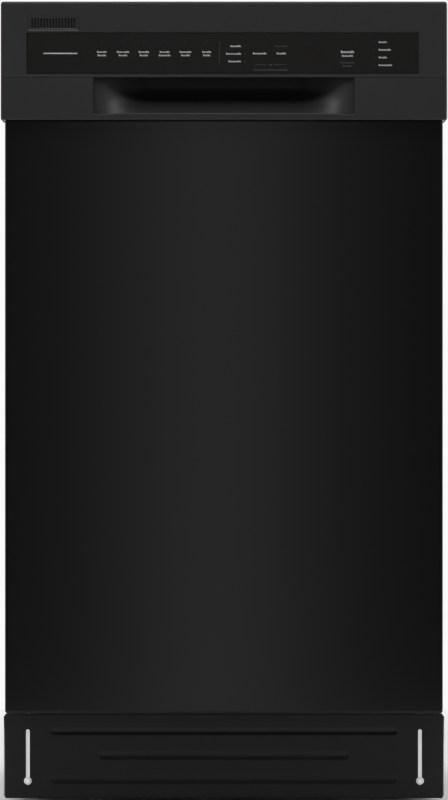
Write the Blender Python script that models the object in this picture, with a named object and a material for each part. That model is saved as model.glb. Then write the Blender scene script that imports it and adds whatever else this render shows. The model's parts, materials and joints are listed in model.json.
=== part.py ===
"""A built-in dishwasher, 18 inches wide, with a drop-down door and two pull-out racks.

Frame: metres, +Z up, the door faces -Y and +X is on the right of someone who stands before it.
The origin is the middle of the footprint on the floor. Every piece is drawn closed and pushed home.
"""

import math

import bmesh
import bpy
from mathutils import Matrix, Vector

# Driving dimensions
CONSOLE_WIDTH = 0.4477
HEIGHT = 0.807
DEPTH = 0.570
GAP = 0.0003
FRONT = -DEPTH / 2
BACK = DEPTH / 2

# Door
DOOR_WIDTH = 0.4403
DOOR_FRONT = FRONT + 0.013
DOOR_PAN_BACK = -0.234
DOOR_BOTTOM = 0.0918
LINER_FACE = -0.229
LINER_SHEET = 0.001
LINER_HALF_WIDTH = 0.2188
LINER_BOTTOM = 0.1035
LINER_TOP = 0.803
LINER_RISE = 0.0117
HINGE = Vector((0.0, -0.227, DOOR_BOTTOM + 0.012))

# Console on the top of the door
CONSOLE_BOTTOM = 0.688
CONSOLE_BACK = -0.232
CONSOLE_WALL = 0.004
CONSOLE_STEP = 0.001
CONSOLE_SIDE = 0.0025
OVERLAY = {"left": -0.1974, "right": 0.1954, "bottom": 0.7341, "top": 0.7757}
OVERLAY_RECESS = 0.003
OVERLAY_SHEET = 0.0009
POCKET_HALF_WIDTH = 0.131
POCKET_BOTTOM = 0.694
POCKET_TOP = 0.7306
SCOOP_TOP = 0.7425
SCOOP_DEPTH = 0.030
VENT_LEFT = -0.1977
VENT_RIGHT = -0.145
VENT_SLOTS = 15
VENT_PITCH = 0.00304
VENT_SLOT = 0.0015

# Keys behind the overlay, by where their symbols are
KEY_HEIGHT = 0.7545
KEY_CENTRES = (-0.1224, -0.1012, -0.0803, -0.0594, -0.0385, -0.0173, 0.0359, 0.0576, 0.1239)
KEY_NAMES = (
    "key_heavy", "key_normal", "key_quick", "key_glass", "key_eco", "key_rinse",
    "key_options", "key_delay", "key_start",
)
BOARD_FRONT = -0.2690
BOARD_LEFT = -0.159
BOARD_RIGHT = 0.171
BOARD_Z = 0.760

# Tub and cabinet
BODY_HALF_WIDTH = 0.220
TUB_HALF_WIDTH = 0.2045
TUB_SHEET = 0.0015
TUB_FRONT = -0.222
TUB_BACK = 0.2455
TUB_FLOOR = 0.1135
TUB_TOP = 0.772
FRAME_HALF_WIDTH = 0.2185
CABINET_BOTTOM = 0.105
CABINET_TOP = 0.800
PANEL_SHEET = 0.001
PANEL_BACK = BACK - 0.0015
STRIP_HALF_WIDTH = 0.2085
STRIP_MIDDLE = -0.201

# Door springs, between the tub and the side panels
SPRING_X = 0.2108
SPRING_Z = 0.131
SPRING_RADIUS = 0.0039
SPRING_WIRE = 0.0012
SPRING_LUG = 0.020

# Base
TRAY_HALF_WIDTH = 0.2145
TRAY_FRONT = -0.1885
TRAY_BACK = 0.270
TRAY_BOTTOM = 0.022
TRAY_WALL = 0.003
KICK_FRONT = -0.210
KICK_SHEET = 0.0022
KICK_HALF_WIDTH = 0.223
KICK_BOTTOM = 0.002
KICK_TOP = 0.087
KICK_SLOT_X = 0.1995
KICK_SLOT_BOTTOM = 0.0155
KICK_SLOT_TOP = 0.0723
KICK_SLOT_RADIUS = 0.0022
KICK_SCREW_Z = 0.0199
CROSS_FRONT = -0.2065
CROSS_BACK = -0.205
RAIL_REAR = CROSS_BACK + GAP
FOOT_X = 0.180
FOOT_Y = (-0.165, 0.235)
FOOT_ROD = 0.004

# Water path
INLET = Vector((-0.1455, -0.1965, 0.030))
INLET_RADIUS = 0.0075
SUMP = Vector((0.0, -0.030, 0.0))
SUMP_RADIUS = 0.078
FILTER = Vector((0.0, -0.070, 0.0))
FILTER_RADIUS = 0.0325
LOWER_ARM = Vector((0.0, 0.005, 0.136))
UPPER_ARM = Vector((0.0, 0.010, 0.452))

# Racks
RACK_FRONT = -0.184
RACK_WALL = 0.003
UPPER_RACK = {"half_width": 0.178, "back": 0.210, "bottom": 0.470, "top": 0.598}
LOWER_RACK = {"half_width": 0.183, "back": 0.200, "bottom": 0.155, "top": 0.300}
RAIL_Z = 0.572
ROLLER_RADIUS = 0.0095
TUB_ROLLER_Y = (-0.150, -0.010)
RACK_ROLLER_Y = (0.020, 0.180)
WHEEL_RADIUS = 0.018
WHEEL_X = 0.192
WHEEL_Y = (-0.100, 0.150)
WHEEL_Z = TUB_FLOOR + GAP + WHEEL_RADIUS
AXLE_RADIUS = 0.003

# Detergent dispenser on the inside of the door
DISPENSER_FACE = LINER_FACE + LINER_RISE + GAP
DISPENSER_FLANGE = 0.002
DISPENSER_Z = (0.365, 0.465)
CAP = Vector((0.065, 0.0, 0.415))

COLOURS = {
    "black_plastic": ((0.022, 0.022, 0.022), 0.45, 0.0),
    "gloss_black": ((0.010, 0.010, 0.009), 0.12, 0.0),
    "black_enamel": ((0.012, 0.012, 0.012), 0.28, 0.0),
    "stainless": ((0.62, 0.62, 0.61), 0.30, 1.0),
    "galvanised": ((0.58, 0.60, 0.61), 0.45, 1.0),
    "grey_plastic": ((0.33, 0.34, 0.35), 0.50, 0.0),
    "light_plastic": ((0.70, 0.71, 0.71), 0.50, 0.0),
    "rubber": ((0.030, 0.030, 0.030), 0.80, 0.0),
    "coated_wire": ((0.40, 0.41, 0.42), 0.45, 0.0),
    "circuit_board": ((0.03, 0.16, 0.07), 0.55, 0.0),
}


def material(name):
    """The Principled material of that name, made on first use."""
    found = bpy.data.materials.get(name)
    if found:
        return found
    colour, roughness, metallic = COLOURS[name]
    made = bpy.data.materials.new(name)
    made.use_nodes = True
    shader = made.node_tree.nodes["Principled BSDF"]
    shader.inputs["Base Color"].default_value = (*colour, 1.0)
    shader.inputs["Roughness"].default_value = roughness
    shader.inputs["Metallic"].default_value = metallic
    return made


def make_object(name, mesh, finish, location=(0, 0, 0)):
    """Links a mesh as an object. With no finish it is a helper, such as a cutter."""
    made = bpy.data.objects.new(name, mesh)
    made.location = location
    bpy.context.scene.collection.objects.link(made)
    if finish is None:
        made.hide_render = True
        made.display_type = "WIRE"
    elif not mesh.materials:
        mesh.materials.append(material(finish))
    return made


def mesh_of(name, bm, smooth_angle=None):
    """Turns a bmesh into a mesh whose faces point out."""
    bmesh.ops.recalc_face_normals(bm, faces=bm.faces)
    mesh = bpy.data.meshes.new(name)
    bm.to_mesh(mesh)
    bm.free()
    if smooth_angle:
        mesh.shade_smooth()
        mesh.set_sharp_from_angle(angle=math.radians(smooth_angle))
    return mesh


def add_block(bm, low, high):
    """Adds a box between two corners to a bmesh."""
    size = Vector(high) - Vector(low)
    middle = (Vector(high) + Vector(low)) / 2
    made = bmesh.ops.create_cube(bm, size=1.0)
    bmesh.ops.scale(bm, vec=size, verts=made["verts"])
    bmesh.ops.translate(bm, vec=middle, verts=made["verts"])


def block(name, low, high, finish=None, bevel=0.0):
    """A box between two corners, with its edges bevelled where a width is given."""
    bm = bmesh.new()
    add_block(bm, low, high)
    if bevel:
        bmesh.ops.bevel(bm, geom=bm.edges[:], offset=bevel, segments=2, profile=0.5, affect="EDGES")
    return make_object(name, mesh_of(name, bm), finish)


def blocks(name, corners):
    """A helper made of several boxes that don't meet."""
    bm = bmesh.new()
    for low, high in corners:
        add_block(bm, low, high)
    return make_object(name, mesh_of(name, bm), None)


AXES = {
    "X": Matrix(((0, 0, 1), (1, 0, 0), (0, 1, 0))),
    "Y": Matrix(((1, 0, 0), (0, 0, 1), (0, 1, 0))),
    "Z": Matrix.Identity(3),
}


def turned_mesh(name, profile, axis="Z", steps=24):
    """A shape turned about an axis, from (radius, distance along the axis) points."""
    bm = bmesh.new()
    points = [bm.verts.new((radius, 0.0, along)) for radius, along in profile]
    edges = [bm.edges.new(pair) for pair in zip(points, points[1:])]
    bmesh.ops.spin(
        bm, geom=points + edges, cent=(0, 0, 0), axis=(0, 0, 1), angle=2 * math.pi,
        steps=steps, use_duplicate=False,
    )
    bmesh.ops.remove_doubles(bm, verts=bm.verts[:], dist=1e-6)
    bmesh.ops.transform(bm, matrix=AXES[axis].to_4x4(), verts=bm.verts[:])
    return mesh_of(name, bm, smooth_angle=35)


def turned(name, profile, location, finish=None, axis="Z", steps=24):
    """The object of a turned mesh."""
    return make_object(name, turned_mesh(name, profile, axis, steps), finish, location)


def drum(radius, low, high):
    """The profile of a plain cylinder."""
    return [(0.0, low), (radius, low), (radius, high), (0.0, high)]


def ring(inner, outer, low, high):
    """The profile of a ring, closed on itself."""
    return [(inner, low), (outer, low), (outer, high), (inner, high), (inner, low)]


def rod(name, location, radius, low, high, finish=None, axis="Z", steps=24):
    """A cylinder along an axis, from low to high past its location."""
    return turned(name, drum(radius, low, high), location, finish, axis, steps)


def plate(name, outline, low, high, finish=None):
    """An outline of (y, z) points, cut from sheet that lies between two x values."""
    bm = bmesh.new()
    face = bm.faces.new([bm.verts.new((low, y, z)) for y, z in outline])
    grown = bmesh.ops.extrude_face_region(bm, geom=[face])
    moved = [v for v in grown["geom"] if isinstance(v, bmesh.types.BMVert)]
    bmesh.ops.translate(bm, vec=(high - low, 0, 0), verts=moved)
    return make_object(name, mesh_of(name, bm), finish)


def combine(target, operation, others):
    """Adds one Boolean modifier for each other object, and keeps those as helpers."""
    for other in others:
        other.hide_render = True
        other.display_type = "WIRE"
        made = target.modifiers.new(f"{operation.lower()}_{other.name}", "BOOLEAN")
        made.operation = operation
        made.object = other
    return target


def cut(target, *others):
    """Cuts others out of target."""
    return combine(target, "DIFFERENCE", others)


def fuse(target, *others):
    """Joins others to target as one body."""
    return combine(target, "UNION", others)


def pivot(name, location):
    """An empty on a joint's axis, which carries the pieces that move together."""
    made = bpy.data.objects.new(name, None)
    made.location = location
    made.empty_display_size = 0.03
    bpy.context.scene.collection.objects.link(made)
    return made


def hang(carrier, *pieces):
    """Parents pieces to an empty and leaves them where they are."""
    for piece in pieces:
        piece.parent = carrier
        piece.matrix_parent_inverse = Matrix.Translation(carrier.location).inverted()


# Door


def console_shell():
    """The moulded console: an open-backed shell with a vent, a recess for the overlay and a handle pocket.

    Its upper part stands a step behind its lower part."""
    half = CONSOLE_WIDTH / 2
    inner = half - CONSOLE_SIDE
    shell = block(
        "console_shell", (-half, FRONT, CONSOLE_BOTTOM), (half, CONSOLE_BACK, HEIGHT),
        "black_plastic", bevel=0.0012,
    )
    hollow = blocks("console_hollow", [(
        (-inner, FRONT + CONSOLE_WALL, CONSOLE_BOTTOM + CONSOLE_SIDE),
        (inner, CONSOLE_BACK + 0.01, HEIGHT - CONSOLE_SIDE),
    )])
    door_gap = block(
        "console_door_gap", (-inner, DOOR_FRONT - 0.0007, CONSOLE_BOTTOM - 0.01),
        (inner, CONSOLE_BACK + 0.01, CONSOLE_BOTTOM + 0.01),
    )
    recess = block(
        "console_overlay_recess", (OVERLAY["left"], FRONT - 0.01, OVERLAY["bottom"]),
        (OVERLAY["right"], FRONT + OVERLAY_RECESS, OVERLAY["top"]),
    )
    window = block("console_key_window", (-0.145, FRONT - 0.01, 0.745), (0.158, FRONT + 0.01, 0.772))
    step = block(
        "console_upper_step", (-half - 0.01, FRONT - 0.01, OVERLAY["bottom"]),
        (half + 0.01, FRONT + CONSOLE_STEP, HEIGHT + 0.01),
    )
    posts = [
        rod(
            f"board_post_{x}", (x, FRONT, BOARD_Z), 0.003, OVERLAY_RECESS + 0.0005,
            BOARD_FRONT - FRONT - GAP, axis="Y", steps=12,
        )
        for x in (BOARD_LEFT + 0.005, BOARD_RIGHT - 0.005)
    ]
    pocket = block(
        "console_pocket", (-POCKET_HALF_WIDTH, FRONT - 0.01, POCKET_BOTTOM),
        (POCKET_HALF_WIDTH, FRONT + 0.01, POCKET_TOP),
    )
    vent_recess = block(
        "console_vent_recess", (VENT_LEFT, FRONT - 0.01, 0.777), (VENT_RIGHT, FRONT + 0.0025, 0.7924)
    )
    return fuse(cut(shell, hollow, door_gap, step, recess, window, pocket, vent_recess, vent_slots()), *posts)


def vent_slots():
    """The cutter for the row of upright slots in the vent."""
    middle = (VENT_LEFT + VENT_RIGHT) / 2
    corners = []
    for index in range(VENT_SLOTS):
        x = middle + (index - (VENT_SLOTS - 1) / 2) * VENT_PITCH
        corners.append(((x - VENT_SLOT / 2, FRONT - 0.01, 0.7805), (x + VENT_SLOT / 2, FRONT + 0.01, 0.7910)))
    return blocks("console_vent_slots", corners)


def control_overlay():
    """The glossy strip that covers the keys."""
    back = FRONT + OVERLAY_RECESS - GAP
    return block(
        "control_overlay",
        (OVERLAY["left"] + GAP, back - OVERLAY_SHEET, OVERLAY["bottom"] + GAP),
        (OVERLAY["right"] - GAP, back, OVERLAY["top"] - GAP),
        "gloss_black",
    )


def scoop_depth(across, up):
    """How far the pocket goes in, as a share. It ramps in from both ends and the floor; its roof is steep.

    across is the distance from the nearer end, and up runs from 0 at the floor to 1 at the roof."""
    end_ramp = min(1.0, max(0.0, across / 0.040))
    floor_ramp = min(1.0, up / 0.5)
    roof_ramp = min(1.0, (1.0 - up) / 0.08)
    return math.sin(end_ramp * math.pi / 2) * math.sin(floor_ramp * math.pi / 2) * math.sqrt(roof_ramp)


def handle_scoop():
    """The insert behind the pocket opening, where the fingers go: a dished sheet with a flat rim."""
    columns, rows, rim = 16, 10, 0.0025
    bm = bmesh.new()
    mouth = FRONT + CONSOLE_WALL + GAP
    grid = []
    for row in range(-1, rows + 2):
        line = []
        for column in range(-1, columns + 2):
            inside_x = min(max(column, 0), columns) / columns
            inside_z = min(max(row, 0), rows) / rows
            x = (2 * inside_x - 1) * POCKET_HALF_WIDTH
            z = POCKET_BOTTOM + inside_z * (SCOOP_TOP - POCKET_BOTTOM)
            share = scoop_depth(POCKET_HALF_WIDTH - abs(x), inside_z)
            if row in (-1, rows + 1):
                z += math.copysign(rim * 0.4, row)
            if column in (-1, columns + 1):
                x += math.copysign(rim, column)
            line.append(bm.verts.new((x, mouth + share * SCOOP_DEPTH, z)))
        grid.append(line)
    for below, above in zip(grid, grid[1:]):
        for index in range(len(below) - 1):
            bm.faces.new((below[index], below[index + 1], above[index + 1], above[index]))
    mesh = mesh_of("handle_scoop", bm)
    scoop = make_object("handle_scoop", mesh, "black_plastic")
    wall = scoop.modifiers.new("wall", "SOLIDIFY")
    wall.thickness = 0.0012
    wall.offset = 1.0 if mesh.polygons[0].normal.y > 0 else -1.0
    return scoop


def door_outer_panel():
    """The enamelled steel front: a pan that is open at the back, and at the top behind the console."""
    half = DOOR_WIDTH / 2
    top = CONSOLE_BOTTOM + 0.0022
    pan = block(
        "door_outer_panel", (-half, DOOR_FRONT, DOOR_BOTTOM), (half, DOOR_PAN_BACK, top), "black_enamel"
    )
    hollow = block(
        "door_pan_hollow", (-half + PANEL_SHEET, DOOR_FRONT + PANEL_SHEET, DOOR_BOTTOM + PANEL_SHEET),
        (half - PANEL_SHEET, DOOR_PAN_BACK + 0.01, top + 0.01),
    )
    return cut(pan, hollow)


def door_inner_liner():
    """The stainless inside of the door: a flanged sheet with a raised middle and two openings."""
    half, low, high = LINER_HALF_WIDTH, LINER_BOTTOM, LINER_TOP
    raised = LINER_FACE + LINER_RISE
    rings = []
    for y, inset_x, inset_low, inset_high in (
        (LINER_FACE - 0.018, 0.0, 0.0, 0.0), (LINER_FACE, 0.0, 0.0, 0.0),
        (LINER_FACE, 0.0265, 0.0270, 0.0385), (raised, 0.0285, 0.0300, 0.0420),
    ):
        rings.append([
            (-half + inset_x, y, low + inset_low), (half - inset_x, y, low + inset_low),
            (half - inset_x, y, high - inset_high), (-half + inset_x, y, high - inset_high),
        ])
    bm = bmesh.new()
    loops = [[bm.verts.new(point) for point in ring_points] for ring_points in rings]
    for outer, inner in zip(loops, loops[1:]):
        for index in range(4):
            after = (index + 1) % 4
            bm.faces.new((outer[index], outer[after], inner[after], inner[index]))
    bm.faces.new(loops[-1])
    mesh = mesh_of("door_inner_liner", bm)
    liner = make_object("door_inner_liner", mesh, "stainless")
    wall = liner.modifiers.new("sheet", "SOLIDIFY")
    wall.thickness = LINER_SHEET
    middle = max(mesh.polygons, key=lambda polygon: polygon.center.y)
    wall.offset = -1.0 if middle.normal.y > 0 else 1.0
    wall.use_even_offset = True
    dispenser_hole = block(
        "liner_dispenser_hole", (-0.0855, LINER_FACE, DISPENSER_Z[0] + 0.0065),
        (0.0855, LINER_FACE + 0.02, DISPENSER_Z[1] - 0.0065),
    )
    latch_slot = block("liner_latch_slot", (-0.010, -0.24, 0.7855), (0.010, -0.22, 0.7975))
    notches = blocks("liner_hinge_notches", [
        ((0.2065, -0.26, 0.09), (0.23, -0.22, 0.140)), ((-0.23, -0.26, 0.09), (-0.2065, -0.22, 0.140)),
    ])
    return cut(liner, dispenser_hole, latch_slot, notches)


def door_bottom_seal():
    """The rubber strip along the foot of the liner."""
    return block(
        "door_bottom_seal", (-0.200, LINER_FACE + GAP, 0.1055), (0.200, -0.2233, 0.1215),
        "rubber", bevel=0.0012,
    )


def control_board():
    """The circuit board that carries the key switches."""
    return block(
        "control_board", (BOARD_LEFT, BOARD_FRONT, BOARD_Z - 0.0135),
        (BOARD_RIGHT, BOARD_FRONT + 0.0016, BOARD_Z + 0.0135), "circuit_board",
    )


def keys():
    """The plungers behind the overlay, each on its own empty: a round cap on a stem."""
    front = FRONT + OVERLAY_RECESS
    profile = [(0.0, 0.0), (0.0045, 0.0), (0.0045, 0.002), (0.002, 0.002), (0.002, 0.0123), (0.0, 0.0123)]
    shape = turned_mesh("key", profile, "Y", 16)
    made = {}
    for name, x in zip(KEY_NAMES, KEY_CENTRES):
        made[name] = make_object(name, shape, "grey_plastic", (x, front, KEY_HEIGHT))
    return made


def dispenser_body():
    """The detergent and rinse-aid dispenser: a box behind a flange, with an open cup."""
    face = DISPENSER_FACE + DISPENSER_FLANGE
    body = block(
        "dispenser_body", (-0.092, DISPENSER_FACE, DISPENSER_Z[0]), (0.092, face, DISPENSER_Z[1]),
        "grey_plastic",
    )
    box = block(
        "dispenser_box", (-0.085, -0.2480, DISPENSER_Z[0] + 0.007),
        (0.085, DISPENSER_FACE + 0.001, DISPENSER_Z[1] - 0.007),
    )
    cup = block("dispenser_cup", (-0.078, -0.2440, 0.386), (-0.022, face + 0.01, 0.444))
    return cut(fuse(body, box), cup)


def detergent_lid():
    """The sliding lid over the detergent cup, with a finger rib."""
    back = DISPENSER_FACE + DISPENSER_FLANGE + GAP
    lid = block("detergent_lid", (-0.083, back, 0.380), (-0.017, back + 0.002, 0.450), "light_plastic")
    rib = block("lid_rib", (-0.027, back + 0.001, 0.395), (-0.022, back + 0.006, 0.435))
    return fuse(lid, rib)


def rinse_aid_cap():
    """The round cap over the rinse-aid tank, with a grip bar across it."""
    back = DISPENSER_FACE + DISPENSER_FLANGE + GAP
    cap = turned("rinse_aid_cap", drum(0.018, 0.0, 0.003), (CAP.x, back, CAP.z), "light_plastic", "Y")
    bar = block(
        "cap_bar", (CAP.x - 0.013, back + 0.002, CAP.z - 0.0025), (CAP.x + 0.013, back + 0.007, CAP.z + 0.0025)
    )
    return fuse(cap, bar)


def latch_housing():
    """The lock body at the top of the door. The striker enters it from behind."""
    body = block(
        "latch_housing", (-0.028, -0.262, 0.776), (0.028, LINER_FACE - 0.002, 0.8015), "grey_plastic"
    )
    throat = block("latch_throat", (-0.010, -0.258, 0.7855), (0.010, -0.22, 0.7975))
    well = block("latch_well", (-0.005, -0.2575, 0.7780), (0.005, -0.22, 0.7900))
    return cut(body, throat, well)


def latch_hook():
    """The small lever that rises into the striker's window."""
    outline = [
        (-0.2560, 0.7800), (-0.2400, 0.7800), (-0.2375, 0.7825), (-0.2375, 0.7882),
        (-0.2410, 0.7882), (-0.2425, 0.7840), (-0.2560, 0.7840),
    ]
    return plate("latch_hook", outline, -0.0035, 0.0035, "light_plastic")


def hinge_arm(side):
    """The steel arm that carries the door and turns on the pin of the base frame."""
    y, z = HINGE.y, HINGE.z
    outline = [
        (-0.262, 0.0945), (-0.238, 0.0945), (y, z - 0.0085), (y + 0.0078, z - 0.004),
        (y + 0.0078, z + 0.004), (-0.2225, 0.118), (-0.2225, 0.1370), (-0.2320, 0.1370),
        (-0.2375, 0.150), (-0.2375, 0.250), (-0.262, 0.250),
    ]
    inner, outer = (0.2085, 0.2115) if side > 0 else (-0.2115, -0.2085)
    name = "hinge_arm_right" if side > 0 else "hinge_arm_left"
    arm = plate(name, outline, inner, outer, "galvanised")
    return cut(arm, rod(f"{name}_bore", (0.21 * side, y, z), 0.0043, -0.01, 0.01, axis="X"))


# Cabinet


def roller(name, side, reach, y):
    """A roller that runs in a rail's groove, between two distances from the middle."""
    low, high = sorted(side * x for x in reach)
    return rod(name, (0, y, RAIL_Z), ROLLER_RADIUS, low, high, axis="X", steps=16)


def tub_shell():
    """The stainless tub with its front frame and rail rollers, open at the front and over the sump."""
    outer = TUB_HALF_WIDTH + TUB_SHEET
    tub = block(
        "tub_shell", (-outer, TUB_FRONT, TUB_FLOOR - TUB_SHEET),
        (outer, TUB_BACK + TUB_SHEET, TUB_TOP + TUB_SHEET), "stainless",
    )
    frame = block(
        "tub_frame", (-FRAME_HALF_WIDTH, TUB_FRONT - 0.0001, CABINET_BOTTOM),
        (FRAME_HALF_WIDTH, TUB_FRONT + TUB_SHEET, CABINET_TOP),
    )
    shelf = block(
        "tub_top_shelf", (-STRIP_HALF_WIDTH, TUB_FRONT + 0.0005, CABINET_TOP - 0.0016),
        (STRIP_HALF_WIDTH, -0.185, CABINET_TOP - 0.0001),
    )
    inside = block("tub_inside", (-TUB_HALF_WIDTH, -0.25, TUB_FLOOR), (TUB_HALF_WIDTH, TUB_BACK, TUB_TOP))
    sump_hole = rod("tub_sump_hole", SUMP, SUMP_RADIUS, 0.09, 0.13, steps=40)
    rollers = [
        roller(f"tub_roller_{side}_{y}", side, (0.1925, TUB_HALF_WIDTH + 0.0005), y)
        for side in (-1, 1) for y in TUB_ROLLER_Y
    ]
    notches = blocks("tub_hinge_notches", [
        ((0.2068, -0.23, 0.09), (0.23, -0.21, 0.160)), ((-0.23, -0.23, 0.09), (-0.2068, -0.21, 0.160)),
    ])
    return fuse(cut(fuse(tub, frame, shelf), inside, sump_hole, notches), *rollers)


def tub_gasket():
    """The rubber seal round the sides and top of the tub's mouth."""
    seal = block("tub_gasket", (-0.2165, -0.2285, 0.142), (0.2165, TUB_FRONT - GAP - 0.0001, 0.784), "rubber")
    return cut(seal, block("gasket_mouth", (-0.2055, -0.24, 0.10), (0.2055, -0.21, 0.773)))


def side_panel(side):
    """One galvanised side: a pan flanged inwards along its top and back, with a lug for the door spring."""
    name = "side_panel_right" if side > 0 else "side_panel_left"
    outer, inner = BODY_HALF_WIDTH, BODY_HALF_WIDTH - PANEL_SHEET
    xs = sorted((side * (outer - 0.010), side * outer))
    hollow_xs = sorted((side * (outer - 0.02), side * inner))
    panel = block(
        name, (xs[0], TUB_FRONT + TUB_SHEET + GAP, CABINET_BOTTOM), (xs[1], PANEL_BACK, CABINET_TOP), "galvanised"
    )
    hollow = block(
        f"{name}_hollow", (hollow_xs[0], -0.23, CABINET_BOTTOM - 0.01),
        (hollow_xs[1], PANEL_BACK - PANEL_SHEET, CABINET_TOP - PANEL_SHEET),
    )
    lug_xs = sorted((side * (SPRING_X - 0.003), side * (outer - 0.0005)))
    lug = block(
        f"{name}_lug", (lug_xs[0], SPRING_LUG, SPRING_Z - 0.006),
        (lug_xs[1], SPRING_LUG + 0.003, SPRING_Z + 0.006),
    )
    return fuse(cut(panel, hollow), lug)


def rear_panel():
    """The galvanised back."""
    return block(
        "rear_panel", (-FRAME_HALF_WIDTH, BACK - PANEL_SHEET, 0.112), (FRAME_HALF_WIDTH, BACK, CABINET_TOP),
        "galvanised",
    )


def top_mounting_strip():
    """The strip along the top front that screws up into the worktop."""
    bottom = CABINET_TOP + GAP
    strip = block(
        "top_mounting_strip", (-STRIP_HALF_WIDTH, STRIP_MIDDLE - 0.015, bottom),
        (STRIP_HALF_WIDTH, STRIP_MIDDLE + 0.015, bottom + 0.0015), "galvanised",
    )
    holes = [
        rod(f"strip_hole_{side}", (side * 0.195, STRIP_MIDDLE, bottom), 0.0026, -0.01, 0.01, steps=16)
        for side in (-1, 1)
    ]
    return cut(strip, *holes)


def striker():
    """The tongue on the tub frame that enters the door's lock, with a window for the hook."""
    plate_back = TUB_FRONT - GAP - 0.0001
    tongue = block("striker", (-0.007, -0.246, 0.7895), (0.007, plate_back, 0.7935), "galvanised")
    base = block("striker_base", (-0.018, plate_back - 0.0017, 0.7860), (0.018, plate_back, 0.7985))
    window = block("striker_window", (-0.0045, -0.2435, 0.78), (0.0045, -0.2350, 0.80))
    return cut(fuse(tongue, base), window)


def base_tray():
    """The moulded base: an open tray on four bosses that take the feet."""
    tray = block(
        "base_tray", (-TRAY_HALF_WIDTH, TRAY_FRONT, TRAY_BOTTOM),
        (TRAY_HALF_WIDTH, TRAY_BACK, TUB_FLOOR - TUB_SHEET - 0.0005), "grey_plastic",
    )
    inside = block(
        "tray_inside", (-TRAY_HALF_WIDTH + TRAY_WALL, TRAY_FRONT + TRAY_WALL, TRAY_BOTTOM + TRAY_WALL),
        (TRAY_HALF_WIDTH - TRAY_WALL, TRAY_BACK - TRAY_WALL, 0.15),
    )
    access = block("tray_access", (-0.200, -0.21, 0.050), (0.200, -0.18, 0.15))
    bosses = []
    bores = []
    for x in (-FOOT_X, FOOT_X):
        for y in FOOT_Y:
            bosses.append(rod(f"boss_{x}_{y}", (x, y, 0), 0.010, TRAY_BOTTOM + 0.001, 0.060, steps=16))
            bores.append(rod(f"bore_{x}_{y}", (x, y, 0), FOOT_ROD + 0.0004, 0.0, 0.10, steps=18))
    return cut(fuse(cut(tray, inside, access), *bosses), *bores)


def base_front_frame():
    """The zinc-plated cross rail behind the kick plate, with an ear and a pin for each hinge."""
    y, z = HINGE.y, HINGE.z
    rail = block("base_front_frame", (-0.2145, CROSS_FRONT, 0.012), (0.2145, CROSS_BACK, 0.098), "galvanised")
    ear_outline = [
        (y - 0.0075, z), (y - 0.004, z - 0.006), (y + 0.001, z - 0.0055), (y + 0.018, z - 0.004),
        (CROSS_FRONT, z - 0.004), (CROSS_FRONT, 0.030), (-0.192, 0.030), (-0.192, 0.150),
        (-0.2105, 0.150), (-0.2205, 0.1265), (y - 0.004, z + 0.008),
    ]
    parts = []
    for side in (-1, 1):
        inner, outer = sorted((side * 0.2125, side * 0.2155))
        parts.append(plate(f"hinge_ear_{side}", ear_outline, inner, outer))
        pin_low, pin_high = sorted((side * 0.2080 - side * 0.213, side * 0.0005))
        parts.append(
            rod(f"hinge_pin_{side}", (side * 0.213, y, z), 0.0040, pin_low, pin_high, axis="X", steps=16)
        )
    screw_holes = [
        rod(
            f"rail_hole_{side}", (side * KICK_SLOT_X, CROSS_FRONT, KICK_SCREW_Z), 0.0021, -0.01, 0.01,
            axis="Y", steps=12,
        )
        for side in (-1, 1)
    ]
    return cut(fuse(rail, *parts), *screw_holes)


def toe_kick_panel():
    """The kick plate: a sheet with three pressed grooves, side returns and an upright slot at each end."""
    panel = block(
        "toe_kick_panel", (-KICK_HALF_WIDTH, KICK_FRONT, KICK_BOTTOM), (KICK_HALF_WIDTH, -0.198, KICK_TOP),
        "black_enamel",
    )
    behind = block(
        "kick_behind", (-KICK_HALF_WIDTH + 0.0015, KICK_FRONT + KICK_SHEET, KICK_BOTTOM - 0.01),
        (KICK_HALF_WIDTH - 0.0015, -0.18, KICK_TOP + 0.01),
    )
    grooves = blocks("kick_grooves", [
        ((-half, KICK_FRONT - 0.01, low), (half, KICK_FRONT + 0.001, high))
        for half, low, high in ((0.1775, 0.0656, 0.0748), (0.1287, 0.0402, 0.0514), (0.1775, 0.0158, 0.0270))
    ])
    slots = []
    for side in (-1, 1):
        x = side * KICK_SLOT_X
        slots.append(block(
            f"kick_slot_{side}", (x - KICK_SLOT_RADIUS, KICK_FRONT - 0.01, KICK_SLOT_BOTTOM),
            (x + KICK_SLOT_RADIUS, KICK_FRONT + 0.01, KICK_SLOT_TOP),
        ))
    return cut(panel, behind, grooves, *slots)


def kick_screw(side):
    """A pan-head screw that holds the kick plate against the cross rail."""
    name = "kick_screw_right" if side > 0 else "kick_screw_left"
    profile = [
        (0.0, -0.0032), (0.0030, -0.0030), (0.0040, -0.0018), (0.0040, 0.0),
        (0.0018, 0.0), (0.0018, 0.009), (0.0, 0.009),
    ]
    place = (side * KICK_SLOT_X, KICK_FRONT - GAP, KICK_SCREW_Z)
    return turned(name, profile, place, "galvanised", "Y", 20)


def feet():
    """The four levelling feet: a pad, a hexagon to turn it by and a threaded rod."""
    profile = [(0.0, 0.0), (0.017, 0.0), (0.018, 0.002), (0.018, 0.007), (0.010, 0.009), (0.010, 0.0150),
               (FOOT_ROD, 0.0150), (FOOT_ROD, 0.080), (0.0, 0.080)]
    shape = turned_mesh("foot", profile, steps=18)
    made = {}
    for across, x in (("left", -FOOT_X), ("right", FOOT_X)):
        for along, y in zip(("front", "rear"), FOOT_Y):
            name = f"foot_{along}_{across}"
            made[name] = make_object(name, shape, "black_plastic", (x, y, 0))
    return made


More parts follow.
